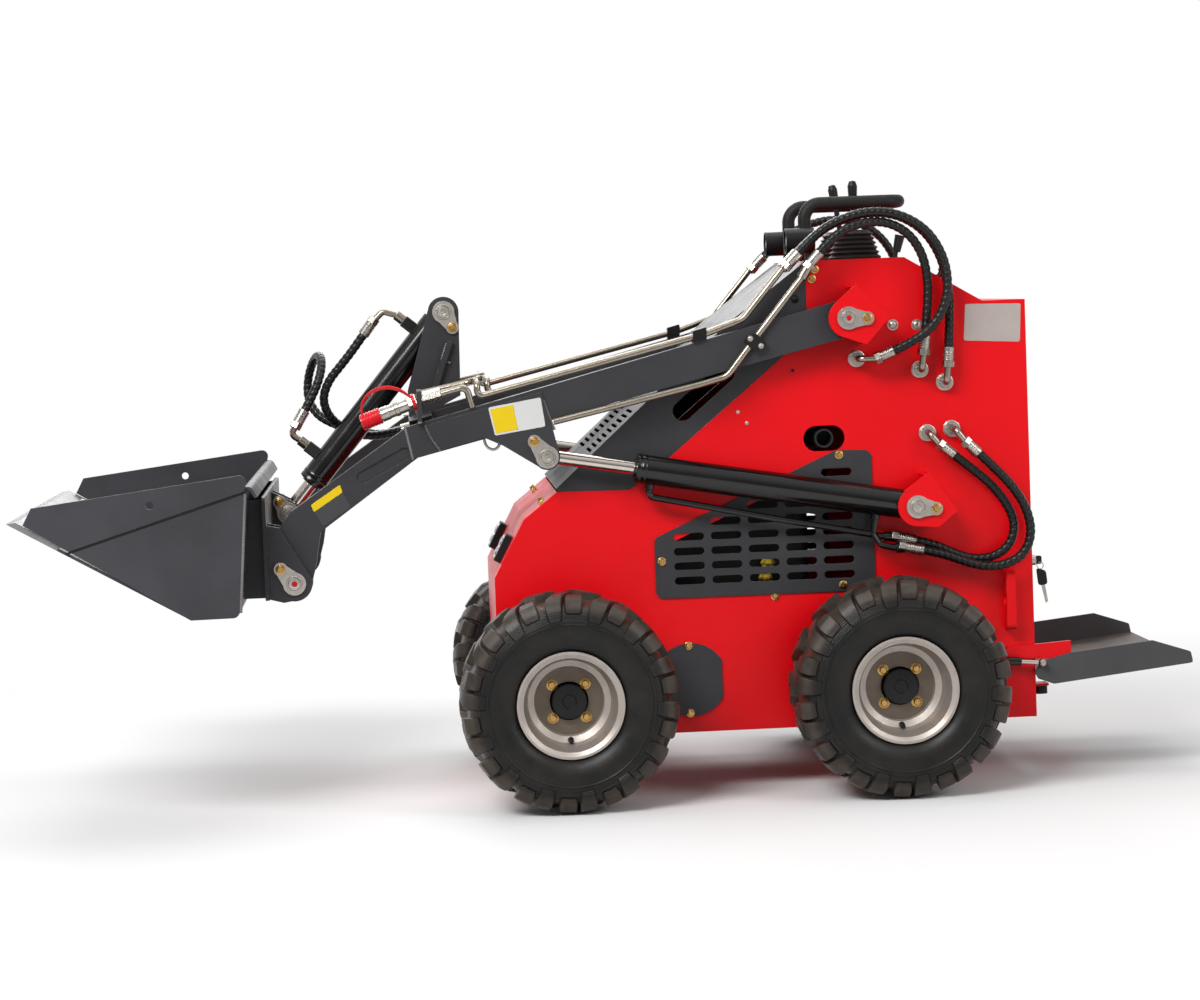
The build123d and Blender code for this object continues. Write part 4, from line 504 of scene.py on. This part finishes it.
for name, points in HOSES.items():
    path = spline_points(points)
    tube = Build().tube(path, HOSE_D / 2, HOSE_STEPS, guard)
    made = tube.piece(f"{name}_guarded", hose_rubber)
    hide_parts(name)
    moving = MOVING_END[name.split("_")[0]]
    reach, spread = path[-1] - path[0], 0
    if name in BLEND_WAY:
        degrees, spread = BLEND_WAY[name]
        way = Vector((math.cos(math.radians(degrees)), 0, math.sin(math.radians(degrees))))
        reach = way * reach.dot(way)
    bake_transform(made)

# Tyres: carcass with sidewall rings, and lugs that wrap round the shoulder
SIDES = {1: "left", -1: "right"}
AXLES = {"front": 110, "rear": -580}
AXLE_Z = 228
TYRE_MID = 423
TYRE_STEPS = 112
LUG_COUNT = 14
SHORT_LUG_AT = 0.83  # share of the way to the next long lug
LUG_FOOT, LUG_SUNK, LUG_ROUND = 2.5, 2, 1.5
# Half section of the carcass: distance from the middle, radius
CARCASS = [
    (0, 212), (30, 211.5), (55, 210), (70, 207), (82, 202), (90, 196), (95, 190), (97, 188.5),
    (99, 186), (99.5, 181), (101, 177), (102, 174), (102.4, 170), (104.2, 168.6), (104.2, 166.6),
    (102.8, 165), (103.4, 156), (102, 143), (98.5, 131), (94, 122), (88, 115), (84, 112.5),
]
# Stations of a lug: distance along the carcass, degrees round it, half width, height
LONG_LUG = [
    (4, 0, 12, 15), (28, 2.2, 11.5, 16), (56, 5.6, 13, 17), (76, 7.6, 16, 17.5),
    (88, 8.2, 16, 15), (99, 8.4, 15, 8.5), (109, 8.5, 14, 4.5), (117, 8.5, 12.5, 2.2),
]
SHORT_LUG = [
    (44, 0, 11, 14), (56, 0.4, 14, 16.5), (76, 0.8, 16.5, 17), (88, 1, 16.5, 12),
    (96, 1, 16, 6), (102, 1, 14.5, 2.5),
]


def carcass_at(distance):
    """Position and outward normal on the carcass at a distance from the tread's middle."""
    gone = 0.0
    for a, b in zip(CARCASS, CARCASS[1:]):
        step = math.dist(a, b)
        if gone + step >= distance:
            t = (distance - gone) / step
            place = (a[0] + (b[0] - a[0]) * t, a[1] + (b[1] - a[1]) * t)
            return place, ((a[1] - b[1]) / step, (b[0] - a[0]) / step)
        gone += step
    return CARCASS[-1], (1.0, 0.0)


def add_lug(build, stations, start, side):
    """Tapered block along the stations of a lug, from a start in degrees."""
    verts, faces = [], []
    for distance, degrees, half, height in stations:
        (u, r), (nu, nr) = carcass_at(distance)
        a = math.radians(start + degrees)
        section = (
            (-half - LUG_FOOT, -LUG_SUNK), (-half, height - LUG_ROUND),
            (-half + LUG_ROUND, height), (half - LUG_ROUND, height),
            (half, height - LUG_ROUND), (half + LUG_FOOT, -LUG_SUNK),
        )
        for offset, lift in section:
            radius = r + nr * lift
            angle = a + offset / r
            y = side * (u + nu * lift)
            verts.append(at(radius * math.sin(angle), y, radius * math.cos(angle)))
    n = len(section)
    for k in range(len(stations) - 1):
        faces += [[n * k + i, n * k + i + 1, n * (k + 1) + i + 1, n * (k + 1) + i]
                  for i in range(n - 1)]
    faces += end_faces(len(stations), n)
    build.add(verts, [f if side < 0 else f[::-1] for f in faces])


tyre = Build()
ring = [(-u, r) for u, r in CARCASS[::-1]] + CARCASS[1:]
spin = [2 * math.pi * i / TYRE_STEPS for i in range(TYRE_STEPS)]
tyre.add([at(r * math.sin(a), u, r * math.cos(a)) for u, r in ring for a in spin],
         ring_faces(len(ring), TYRE_STEPS))
period = 360 / LUG_COUNT
for side in SIDES:
    for index in range(LUG_COUNT):
        start = period * (index + (0.5 if side < 0 else 0))
        add_lug(tyre, LONG_LUG, start, side)
        add_lug(tyre, SHORT_LUG, start + SHORT_LUG_AT * period, side)
tyre_mesh = tyre.mesh("tyre", TYRE_SHARP)
tyre_mesh.materials.append(tyre_rubber)
for end, axle_x in AXLES.items():
    for side, hand in SIDES.items():
        made = bpy.data.objects.new(f"{end}_{hand}_lugged_tyre", tyre_mesh)
        scene.collection.objects.link(made)
        half_turn = Matrix.Rotation(math.pi if side < 0 else 0, 4, "Z")
        place = at(axle_x, side * TYRE_MID, AXLE_Z)
        made.matrix_world = Matrix.Translation(place) @ half_turn
        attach(made, f"{end}_{hand}_wheel")
        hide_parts(f"{end}_{hand}_tyre")

# Small parts: bolts, nuts, hose ends, labels, clamps and lenses, each seated on its CAD part
graph = bpy.context.evaluated_depsgraph_get()
LOOK = {
    "gold": gold, "brass": brass, "zinc": zinc, "steel": steel, "chrome": chrome,
    "black": black_plastic, "gloss": black_paint, "red": cap_red, "dark": dark_paint,
    "weld": weld_paint, "white": label_white, "yellow": label_yellow, "film": label_film,
    "silver_plate": plate_steel, "disc": rim_disc_dirt_and_shade, "lens": lens,
}
# Small parts are sized and placed in millimetres unless marked, and a profile lists (radius, height)
ACROSS, UPWARD, DOWN = (0, 1, 0), (0, 0, 1), (0, 0, -1)
OUTSIDE_Y = 700
small = {}


def kind(look, body="chassis"):
    """The piece that gathers the small parts of one look on one body."""
    return small.setdefault((look, body), Build())


def seat(names, start, way):
    """Nearest point on some nodes, along a line from a start."""
    start, way = at(*start), Vector(way).normalized()
    found = [nodes[name].ray_cast(start, way, depsgraph=graph) for name in names]
    places = [place for hit, place, normal, index in found if hit]
    if not places:
        raise ValueError(f"nothing on {names} along {way} from {start}")
    return min(places, key=lambda place: (place - start).length) * MM


def face(names, x, z, side=1):
    """Outermost point on some nodes at X and Z, seen from one side."""
    return seat(names, (x, side * OUTSIDE_Y, z), (0, -side, 0))


def on_side(place, side):
    """A place on the left, or its mirror image on the right."""
    x, y, z = place
    return x, side * y, z


def metres(points):
    """Pairs of values in metres from millimetres."""
    return [(a / MM, b / MM) for a, b in points]


def turned(build, profile, place, axis, steps=24, turn=0.0):
    """Adds a profile turned about an axis at a place."""
    return build.lathe(metres(profile), at(*place), axis, steps, turn)


def rounded(outline, radius):
    """Outline with its corners rounded."""
    made = []
    for k, corner in enumerate(outline):
        corner = Vector(corner)
        before = (Vector(outline[k - 1]) - corner).normalized() * radius
        after = (Vector(outline[(k + 1) % len(outline)]) - corner).normalized() * radius
        for t in (0, 0.25, 0.5, 0.75, 1):
            made.append(corner + before * (1 - t) ** 2 + after * t ** 2)
    return made


def plate(build, outline, y_a, y_b):
    """Plate of an X-Z outline between two values of Y."""
    points = metres(outline)
    area = sum(a[0] * b[1] - b[0] * a[1] for a, b in zip(points, points[1:] + points[:1]))
    points = points if area > 0 else points[::-1]
    build.prism(points, at(0, max(y_a, y_b), 0), (1, 0, 0), UPWARD, abs(y_a - y_b) / MM)


def bolt(build, place, axis, r):
    """Hexagon head on a washer."""
    turned(build, [(1.5 * r, -0.3), (1.5 * r, 1.1), (1.35 * r, 1.6)], place, axis)
    turned(build, [(r, 1.2), (r, 0.85 * r), (0.85 * r, 1.05 * r)], place, axis, 6, 0.3)


def button(build, place, axis, r):
    """Domed head with a socket, on a washer."""
    turned(build, [(1.3 * r, -0.3), (1.3 * r, 0.8), (r, 1), (0.94 * r, 0.32 * r),
                   (0.7 * r, 0.52 * r), (0.38 * r, 0.6 * r), (0.34 * r, 0.3 * r)], place, axis)


def ferrule(build, start, end):
    """Crimped sleeve with rings, and a lip that laps over the hose past its end."""
    way = Vector(end) - Vector(start)
    pitch, lead_in = 5, 3
    rings = [(r, lead_in + pitch * k + h) for k in range(int((way.length - lead_in) // pitch))
             for r, h in ((12.3, 0), (11.8, 0.7), (11.8, 1.9), (12.3, 2.6))]
    lip = [(12.3, way.length + 3), (10.6, way.length + 4.5)]
    turned(build, [(11, 0), (12.3, 0.8), *rings, *lip], start, way)


def nut(build, start, end, r=13.2):
    """Hexagon with chamfered ends."""
    way, chamfer = Vector(end) - Vector(start), 0.9
    turned(build, [(r - chamfer, 0), (r, chamfer), (r, way.length - chamfer),
                   (r - chamfer, way.length)], start, way, 6)


def bead(build, points, r=3.0):
    """Weld bead along straight runs, with its ripples."""
    step, ripple, pitch = 0.0012, 0.0004, 0.0055  # metres
    path = []
    for a, b in zip(points, points[1:]):
        a, b = at(*a), at(*b)
        count = max(int((b - a).length / step), 2)
        path += [a.lerp(b, i / count) for i in range(count)]
    path.append(at(*points[-1]))
    build.tube(path, r / MM, 10, lambda d, a: ripple * math.sin(d * 2 * math.pi / pitch))


# Bolts on the body and keepers on the pins
LIFT_PIN, TILT_PIN = (-639, 595), (332, 1038)
# Keepers: node, body, pin, screw, red mark, sides
KEEPERS = [
    ("chassis_pins", "chassis", (-506, 995), (-545, 993), True, (1, -1)),
    ("chassis_pins", "chassis", LIFT_PIN, (-677, 590), False, (1, -1)),
    ("arm_pins", ARM, (132, 730), (157.5, 763.5), False, (1, -1)),
    ("arm_pins", ARM, TILT_PIN, (314, 1004), False, (1,)),
    ("bucket_pins", BUCKET, (667, 489), (694.5, 520.5), True, (1, -1)),
    ("bucket_pins", BUCKET, (686, 615), (704, 640), False, (1, -1)),
]
KEEPER_RING = [(17, -0.3), (17, 1.6), (16.2, 2.4), (14.2, 2.4), (13.6, 1), (12.6, 1), (12, 3),
               (6, 3.4), (5, 2.4)]
KEEPER_MARK = [(5.5, 2.2), (5, 3.8), (2, 4)]
BODY_BOLTS = [(-104, 496), (-488, 430), (-488, 706), (-342, 412), (-154, 315), (-153, 171),
              (-443, 1079), (-450, 1099)]
BODY_BUTTONS = [(-612, 976, 9), (-663, 974, 9), (-277, 805, 3), (-295, 781, 3)]
BODY_BOLT_R, KEEPER_BOLT_R, WHEEL_BOLT_R = 6, 7, 8
BLACK_BUTTON, BLACK_BUTTON_R = (-406, 1038), 7
GROMMET = [(4, -0.3), (4, 0.8), (2.6, 1.2), (2.2, 0.1)]
GROMMET_AT = (-396, 888)
for side, hand in SIDES.items():
    out = (0, side, 0)
    shell = [f"{hand}_side_plate", "side_covers", "engine_hood"]
    for x, z in BODY_BOLTS:
        bolt(kind("gold"), face(shell, x, z, side), out, BODY_BOLT_R)
    for x, z, r in BODY_BUTTONS:
        button(kind("zinc"), face(shell, x, z, side), out, r)
    button(kind("black"), face(shell, *BLACK_BUTTON, side), out, BLACK_BUTTON_R)
    turned(kind("black"), GROMMET, face(shell, *GROMMET_AT, side), out)
    for node, body, pin, screw, marked, sides in KEEPERS:
        if side not in sides:
            continue
        centre = face([node], *pin, side)
        turned(kind("zinc", body), KEEPER_RING, centre, out, steps=32)
        bolt(kind("gold", body), face([node], *screw, side), out, KEEPER_BOLT_R)
        if marked:
            turned(kind("red", body), KEEPER_MARK, centre, out, steps=11)
PANEL_OUT = Vector((0.614, 0, 0.789))
PANEL_BOLT_X, PANEL_BOLT_Z = 203, 708
for y in (-262, -160, 160, 262):
    place = seat(["front_panel"], (PANEL_BOLT_X, y, PANEL_BOLT_Z), -PANEL_OUT)
    bolt(kind("gold"), place, PANEL_OUT, BODY_BOLT_R)

# Wheel centres: hub cap, disc, nuts and valve; the disc is brown and darker than the rim, partly
# dirt and partly painted shade of the sunk centre
HUB_CAP = [(37, -9), (37, 1.5), (35, 4), (15, 5.5), (13, 3.5), (4, 3)]
WHEEL_DISC = [(84, 0), (84, 0.6), (40, 0.6), (40, 0)]
VALVE = [(7, -2), (7, 10), (5.2, 13), (5.2, 26), (4, 28)]
HUB_Y, DISC_Y, NUT_Y, VALVE_Y = 443, 430.2, 430.8, 431
NUT_CIRCLE, VALVE_DROP = 49, 81
for end, axle_x in AXLES.items():
    for side, hand in SIDES.items():
        body, out = f"{end}_{hand}_wheel", (0, side, 0)
        turned(kind("black", body), HUB_CAP, (axle_x, side * HUB_Y, AXLE_Z), out, steps=40)
        turned(kind("disc", body), WHEEL_DISC, (axle_x, side * DISC_Y, AXLE_Z), out, steps=64)
        for k in range(4):
            a = math.radians(45 + 90 * k)
            x, z = axle_x + NUT_CIRCLE * math.cos(a), AXLE_Z + NUT_CIRCLE * math.sin(a)
            bolt(kind("gold", body), (x, side * NUT_Y, z), out, WHEEL_BOLT_R)
        turned(kind("black", body), VALVE, (axle_x, side * VALVE_Y, AXLE_Z - VALVE_DROP), out)

# Hose ends: crimped sleeves, nuts and the screwed bosses on the body
LEADS = {"arm": 26, "right": 26, "lift": 35, "tilt": 27}  # sleeve lengths at the moving ends
TILT_SLEEVE, BODY_SLEEVE = 19, 25
MOVING_NUT, BODY_NUT = 14, 13
for name, points in HOSES.items():
    family = name.split("_")[0]
    moving = MOVING_END[family]
    first, last = Vector(points[0]), Vector(points[-1])
    back = (first - Vector(points[1])).normalized()
    onward = (last - Vector(points[-2])).normalized()
    lead = first + back * LEADS[family]
    ferrule(kind("steel", moving), lead, first)
    nut(kind("steel", moving), lead + back * MOVING_NUT, lead)
    if family == "tilt":
        ferrule(kind("steel", ARM), last + onward * TILT_SLEEVE, last)
    else:
        ferrule(kind("steel"), last + onward * BODY_SLEEVE, last)
        nut(kind("steel"), last + onward * BODY_SLEEVE, last + onward * (BODY_SLEEVE + BODY_NUT))
WALL_Y = 281
BOSSES = [(-718, 851, 1), (-666, 880, 1), (-532, 908, 1), (-678, 745, 1), (-730, 752, 1),
          (-718, 851, -1)]
BOSS_FLANGE = [(18, -0.3), (18, 2), (17.1, 2.6)]
BOSS_CROWN = [(17.2, 10), (17.2, 12.2), (15.6, 12.8), (15, 12.1)]
BOSS_NUT = [(12.5, 11.6), (13.5, 12.4), (13.5, 15.5), (12.5, 16.4)]
for x, z, side in BOSSES:
    place, out = (x, side * WALL_Y, z), (0, side, 0)
    turned(kind("zinc"), BOSS_FLANGE, place, out, steps=32)
    turned(kind("zinc"), BOSS_CROWN, place, out, steps=32)
    turned(kind("steel"), BOSS_NUT, place, out, steps=6)

# Pipe clamps on the arms
SEAT_GAP = 0.2  # under the clamps and the bracket
ABOVE_ARMS_Z = 1200
CLAMP_X, CLAMP_H = (-210.3, -181.7), 26
CLAMPS = [("left_arm", 324, 348.8, 301.2), ("right_arm", -318, -301.2, -324.8)]
for node, mid_y, y_a, y_b in CLAMPS:
    rear, front = CLAMP_X
    rear_z, front_z = (seat([node], (x, mid_y, ABOVE_ARMS_Z), DOWN).z for x in CLAMP_X)
    block = [(rear, rear_z + SEAT_GAP), (front, front_z + SEAT_GAP), (front, front_z + CLAMP_H),
             (rear, rear_z + CLAMP_H)]
    plate(kind("black", ARM), rounded(block, 3), y_a, y_b)
CLIP = [(-286, 954), (-311, 972), (-336, 949), (-310, 932)]
CLIP_Y = (342.1, 361)
plate(kind("black", ARM), rounded(CLIP, 7), *CLIP_Y)
for x, z in ((-300, 960), (-322, 944)):
    button(kind("zinc", ARM), (x, CLIP_Y[1], z), ACROSS, 4.5)

# Couplers with their dust caps and straps, on a bracket
SLEEVE = [(13.5, 18), (13.6, 40), (15.2, 41), (15.2, 48), (13.6, 49), (13.6, 62), (14.8, 63),
          (14.8, 79)]
CAP_RIBS = [(r, 4 + 6 * k + h) for k in range(6)
            for r, h in ((16.7, 0), (15.9, 1), (15.9, 2.5), (16.7, 3.5))]
CAP = [(15, 0), (16.7, 1), *CAP_RIBS, (16.7, 41), (12, 44)]
STRAP_RING = [(16.4, 3), (17.4, 4), (17.4, 9), (16.4, 10)]
STRAP_R, HOOK_R = 0.0024, 0.003  # metres
EVERY = 4  # every fourth point of a smooth line is enough for a thin wire
COUPLER_NUT_L, COUPLER_NUT_R, PIPE_NUT_R = 20, 15.8, 14
COUPLER_ROWS = [(309, 0), (341, 4)]  # Y, and how much higher the strap runs
for y, rise in COUPLER_ROWS:
    root, neck, tip = Vector((398, y, 857)), Vector((474, y, 830)), Vector((514, y, 816))
    way = (neck - root).normalized()
    nut(kind("steel", ARM), root, root + way * COUPLER_NUT_L, COUPLER_NUT_R)
    turned(kind("steel", ARM), SLEEVE, root, way)
    turned(kind("red", ARM), CAP, neck, tip - neck)
    turned(kind("red", ARM), STRAP_RING, root, way)
    strap = [(512, y, 832), (516, y + 4, 852), (500, y + 6, 874 + rise), (467, y + 7, 888 + rise),
             (430, y + 6, 880 + rise), (406, y + 4, 860), (404, y, 866)]
    kind("red", ARM).tube(spline_points(strap)[::EVERY], STRAP_R, 8)
    nut(kind("steel", ARM), (389, y, 860), (347, y, 870), PIPE_NUT_R)
BRACKET_X, BRACKET_Y, BRACKET_TOP = 388.5, (295.6, 356.4), 880.6
BRACKET_T = 0.01  # metres
ABOVE_FOOT = (393, 322, 1000)
foot = seat(["left_arm"], ABOVE_FOOT, DOWN).z + SEAT_GAP
inner, outer = BRACKET_Y
bracket = [(inner, foot), (outer, foot), (outer, BRACKET_TOP), (inner, BRACKET_TOP)]
kind("dark", ARM).prism(metres(rounded(bracket, 6)), at(BRACKET_X, 0, 0), ACROSS, UPWARD, BRACKET_T)

# Welds on the arms, the tower and the bucket, a black strip painted as the shadow along the bucket's
# crease, and the wire hook
ARM_Y, CHEEK_Y, TOWER_Y, BUCKET_Y = 342, 350, 52, 533
ARM_WELDS = [[(425, 804), (411, 735)], [(383, 806), (370, 777), (353, 752)],
             [(136, 849), (120, 800), (114, 786)]]
TOWER_WELD = [(328, 970), (340, 935), (322, 927)]
BUCKET_WELD = [(752, 690), (771, 450)]
# Thin black strip on each bucket side, painted as the shadow under the step at the crease
CREASE_SHADOW = [(1117, 586), (753, 695), (752, 690.5), (1113, 582.5)]
CREASE_SHADOW_Y = (533.9, 534.4)
for side in SIDES:
    for run in ARM_WELDS:
        bead(kind("weld", ARM), [(x, side * ARM_Y, z) for x, z in run])
    bead(kind("weld", ARM), [(x, side * TOWER_Y, z) for x, z in TOWER_WELD])
    bead(kind("weld", BUCKET), [(x, side * BUCKET_Y, z) for x, z in BUCKET_WELD])
    # painted shadow strip along the crease
    plate(kind("black", BUCKET), CREASE_SHADOW, side * CREASE_SHADOW_Y[0], side * CREASE_SHADOW_Y[1])
HOOK = [(262, 322, 776), (260, 322, 758), (246, 322, 748), (232, 322, 752), (227, 322, 768),
        (226, 322, 788)]
kind("zinc", ARM).tube(spline_points(HOOK)[::EVERY], HOOK_R, 10)

# Blank labels and the blank rating plate: look, surface, outline, corner radius, sunk, proud
LABELS = [
    ("white", CHEEK_Y, [(251, 838), (141, 855), (133, 794), (239, 779)], 4, 0.1, 0.3),
    ("yellow", CHEEK_Y, [(247, 834), (199, 841.5), (190, 790), (236, 783.5)], 0, 0, 0.5),
    ("yellow", ARM_Y, [(627, 650), (565, 690), (560, 674), (621, 635)], 3, 0.1, 0.4),
    ("film", ARM_Y, [(621, 635), (560, 674), (544, 642), (603, 604)], 3, 0.1, 0.4),
]
for side in SIDES:
    for name, surface, outline, radius, sunk, proud in LABELS:
        outline = rounded(outline, radius) if radius else outline
        plate(kind(name, ARM), outline, side * surface - side * sunk,
              side * surface + side * proud)
RATING_PLATE = [(-767, 1014), (-886, 1011), (-882, 930), (-762, 937)]
RATING_PLATE_Y = (280.9, 281.6)
plate(kind("silver_plate"), rounded(RATING_PLATE, 5), *RATING_PLATE_Y)

# Lamps, cylinder glands and gas spring ends
LAMP_GLASS = [(23.6, 0), (23.6, 1.5), (18, 4), (8, 5.6), (1, 6)]
ROUND_LAMP, FRONT_LAMP = (-408, 190, 1161), (234.2, 182, 535.2)
FRONT_GLASS = [(-27, -26), (27, -26), (27, 26), (-27, 26)]
FRONT_GLASS_T = 0.0015  # metres
LAMP_OUT_X, LAMP_OUT_Z = 0.878, 0.478
BULB = [(10.5, 0), (10.5, 2), (8, 3.4), (3, 4.2)]
BULBS_AT = [(-13, -12), (13, -12), (-13, 12), (13, 12)]
GLAND = [(31.2, 572), (31.9, 573), (31.9, 582), (31.2, 583), (31.9, 584), (31.9, 592),
         (27, 594.5), (20, 594.6), (20, 598), (15, 599)]
TILT_GLAND_BACK = 124  # how much nearer to its pin the tilt cylinder's gland is
LIFT_AXIS, TILT_AXIS = (771, 0, 135), (354, 0, -423)
LIFT_Y = 322
SPRING_ROD = [(4.8, 0), (4.8, 37)]
SPRING_ROD_AT, SPRING_AXIS = (-860.2, 303, 251.3), (-161, 0, -15)
SPRING_EYE = [(7.4, -0.2), (7.4, 1), (5.5, 3.2), (2, 4)]
SPRING_EYES_AT, SPRING_EYE_Y = [(-906, 247), (-745, 262)], 310.5
for side, hand in SIDES.items():
    turned(kind("lens"), LAMP_GLASS, on_side(ROUND_LAMP, side), (1, 0, 0), steps=32)
    x, y, z = on_side(FRONT_LAMP, side)
    kind("lens").prism(metres(rounded(FRONT_GLASS, 5)), at(x, y, z), ACROSS,
                       (-LAMP_OUT_Z, 0, LAMP_OUT_X), FRONT_GLASS_T)
    for a, b in BULBS_AT:
        turned(kind("lens"), BULB, (x - LAMP_OUT_Z * b, y + a, z + LAMP_OUT_X * b),
               (LAMP_OUT_X, 0, LAMP_OUT_Z))
    turned(kind("gloss", f"{hand}_lift_barrel"), GLAND,
           (LIFT_PIN[0], side * LIFT_Y, LIFT_PIN[1]), LIFT_AXIS, steps=48)
    turned(kind("chrome"), SPRING_ROD, on_side(SPRING_ROD_AT, side), SPRING_AXIS)
    for x, z in SPRING_EYES_AT:
        turned(kind("zinc"), SPRING_EYE, (x, side * SPRING_EYE_Y, z), (0, side, 0))
# The tilt cylinder has the same gland, 1 mm smaller round the barrel and 1 mm larger round the rod
tilt_gland = [(r - 1 if r > 26 else r + 1, h - TILT_GLAND_BACK) for r, h in GLAND]
turned(kind("gloss", "tilt_barrel"), tilt_gland, (TILT_PIN[0], 0, TILT_PIN[1]), TILT_AXIS, steps=48)

# Key switch with its key, ring and fob, and the knob on the console
SWITCH = [(13, -0.3), (13, 3), (11, 4), (11, 14), (9, 15)]
BEHIND_X, SWITCH_Y, SWITCH_Z = -1150, 240, 461
RING_R, RING_BACK, RING_Z, RING_SHIFT, HALF_RING_STEPS = 7, 24, 449, 0.2, 12
WIRE_R = 0.0009  # metres
switch = seat(["rear_panel"], (BEHIND_X, SWITCH_Y, SWITCH_Z), (1, 0, 0))
turned(kind("zinc"), SWITCH, switch, (-1, 0, 0))


def behind(outline):
    """X-Z outline whose X is counted rearwards from the key switch."""
    return [(switch.x - x, z) for x, z in outline]


KEY_HEAD = [(14, 452), (28, 452), (28, 470), (14, 470)]
FOB = [(15, 444), (36, 438), (39, 408), (19, 406)]
FOB_TAG = [(25, 408), (33, 408), (39, 372), (34, 368)]
KEY_Y, FOB_Y, TAG_Y = (238.5, 241.5), (241, 244), (241.6, 243.4)
plate(kind("black"), rounded(behind(KEY_HEAD), 5), *KEY_Y)
ring_path = []
for k in range(2 * HALF_RING_STEPS + 1):
    a = k * math.pi / HALF_RING_STEPS
    ring_path.append(at(switch.x - RING_BACK + RING_R * math.cos(a), SWITCH_Y + RING_SHIFT * k,
                        RING_Z + RING_R * math.sin(a)))
kind("zinc").tube(ring_path, WIRE_R, 8)
plate(kind("black"), rounded(behind(FOB), 7), *FOB_Y)
plate(kind("zinc"), behind(FOB_TAG), *TAG_Y)
KNOB = [(9, -0.3), (9, 3), (6, 5), (6, 12), (9.5, 15), (9.5, 22), (7, 25)]
CONSOLE_OUT = Vector((-0.513, 0, 0.8585))
ABOVE_KNOB = (-769, 250, 1158)
turned(kind("black"), KNOB, seat(["console_top"], ABOVE_KNOB, -CONSOLE_OUT), CONSOLE_OUT)

# Brass plugs on the engine, seen through the grille, and the bolts of the cutting edge
PLUG = [(11, -1), (11, 34), (16, 35), (16, 48), (9, 49), (9, 58)]
PLUGS_AT, PLUG_Y = [(-334, 480), (-328, 448)], 190
for x, z in PLUGS_AT:
    turned(kind("brass"), PLUG, (x, PLUG_Y, z), ACROSS, steps=6)
EDGE_OUT = Vector((-0.5029, 0, 0.8644))
EDGE_BOLT_X, EDGE_BOLT_Z, EDGE_BOLT_R = 1131, 705, 9
for y in range(-450, 451, 150):
    place = seat(["cutting_edge", "bucket_shell"], (EDGE_BOLT_X, y, EDGE_BOLT_Z), -EDGE_OUT)
    button(kind("zinc", BUCKET), place, EDGE_OUT, EDGE_BOLT_R)

for (name, body), build in small.items():
    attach(build.piece(f"{body}_{name}_details", LOOK[name]), body)

# Floor, light and backdrop
FLOOR_PALE, FLOOR_PALEST = (0.89, 0.89, 0.89), (0.92, 0.92, 0.92)
FLOOR_BOUNCE = (0.42, 0.42, 0.42)  # what diffuse rays see
FADE_FROM, FADE_TO = 1.5, 3.0
DIM_ROOM, BRIGHT_ROOF = 0.25, 0.9
DIFFUSE_LIGHT = 0.32


def seen_rays(tree):
    """1 for camera rays, for mirrored rays (glossy or transmission), and for either."""
    rays = tree.node("ShaderNodeLightPath").outputs
    mirrored = tree.math("MAXIMUM", rays["Is Glossy Ray"], rays["Is Transmission Ray"])
    return rays["Is Camera Ray"], mirrored, tree.math("MAXIMUM", rays["Is Camera Ray"], mirrored)


# The floor keeps the shadow near the loader, and fades into the white backdrop further out
ground = Paint("floor", (0.86, 0.86, 0.86), 0.7, spec=0.2)
seen = seen_rays(ground)[2]
pale = ground.mix(ground.fit(ground.noise(scale=0.7), 0.3, 0.7), FLOOR_PALE, FLOOR_PALEST)
ground.set(ground.mix(seen, FLOOR_BOUNCE, pale))
reach = ground.node("ShaderNodeVectorMath", operation="LENGTH")
ground.put(reach.inputs[0], ground.node("ShaderNodeNewGeometry").outputs["Position"])
glow = ground.node("ShaderNodeEmission")
fade = ground.node("ShaderNodeMixShader")
far_out = ground.fit(reach.outputs["Value"], FADE_FROM, FADE_TO)
ground.put(fade.inputs[0], ground.math("MULTIPLY", seen, far_out))
ground.put(fade.inputs[1], ground.shader.outputs[0])
ground.put(fade.inputs[2], glow.outputs[0])
ground.put(ground.tree.nodes["Material Output"].inputs["Surface"], fade.outputs[0])
sheet = Build().add([(-60, -90, 0), (60, -90, 0), (60, 30, 0), (-60, 30, 0)], [[0, 1, 2, 3]])
floor = bpy.data.objects.new("floor", sheet.mesh("floor"))
scene.collection.objects.link(floor)
floor.data.materials.append(ground.mat)

world = bpy.data.worlds.new("studio")
scene.world = world
world.use_nodes = True
sky = Nodes(world.node_tree, "Generated")
background = sky.tree.nodes["Background"]
background.inputs["Color"].default_value = (1, 1, 1, 1)
direct, mirrored, seen = seen_rays(sky)
# Metal shows the white backdrop behind the loader and overhead, and the dim room on the near side
backdrop = sky.fit(sky.axis(1), 0.1, -0.7, DIM_ROOM, 1)
roof = sky.fit(sky.axis(2), 0.25, 0.8, DIM_ROOM, BRIGHT_ROOF)
far_side = sky.math("MAXIMUM", backdrop, roof)
mirror_light = sky.math("ADD", sky.math("MULTIPLY", mirrored, far_side), direct)
diffuse_light = sky.fit(seen, 0, 1, DIFFUSE_LIGHT, 0)
sky.put(background.inputs["Strength"], sky.math("ADD", mirror_light, diffuse_light))


def softbox(name, place, aim, size, power):
    data = bpy.data.lights.new(name, "AREA")
    data.shape = "RECTANGLE"
    data.size, data.size_y = size
    data.energy = power
    lamp = bpy.data.objects.new(name, data)
    scene.collection.objects.link(lamp)
    lamp.location = place
    lamp.rotation_euler = (Vector(aim) - Vector(place)).to_track_quat("-Z", "Y").to_euler()


softbox("key", (2.6, 4.2, 4.4), (-0.1, 0.2, 0.6), (3.0, 2.0), 290)
softbox("fill", (-3.6, 3.4, 2.6), (-0.2, 0, 0.6), (2.0, 2.0), 60)
softbox("overhead", (0, -0.6, 4.4), (0, 0, 0.5), (4.0, 2.5), 50)
softbox("back", (0.5, -4.6, 3.4), (0, 0, 0.6), (3.0, 2.0), 100)
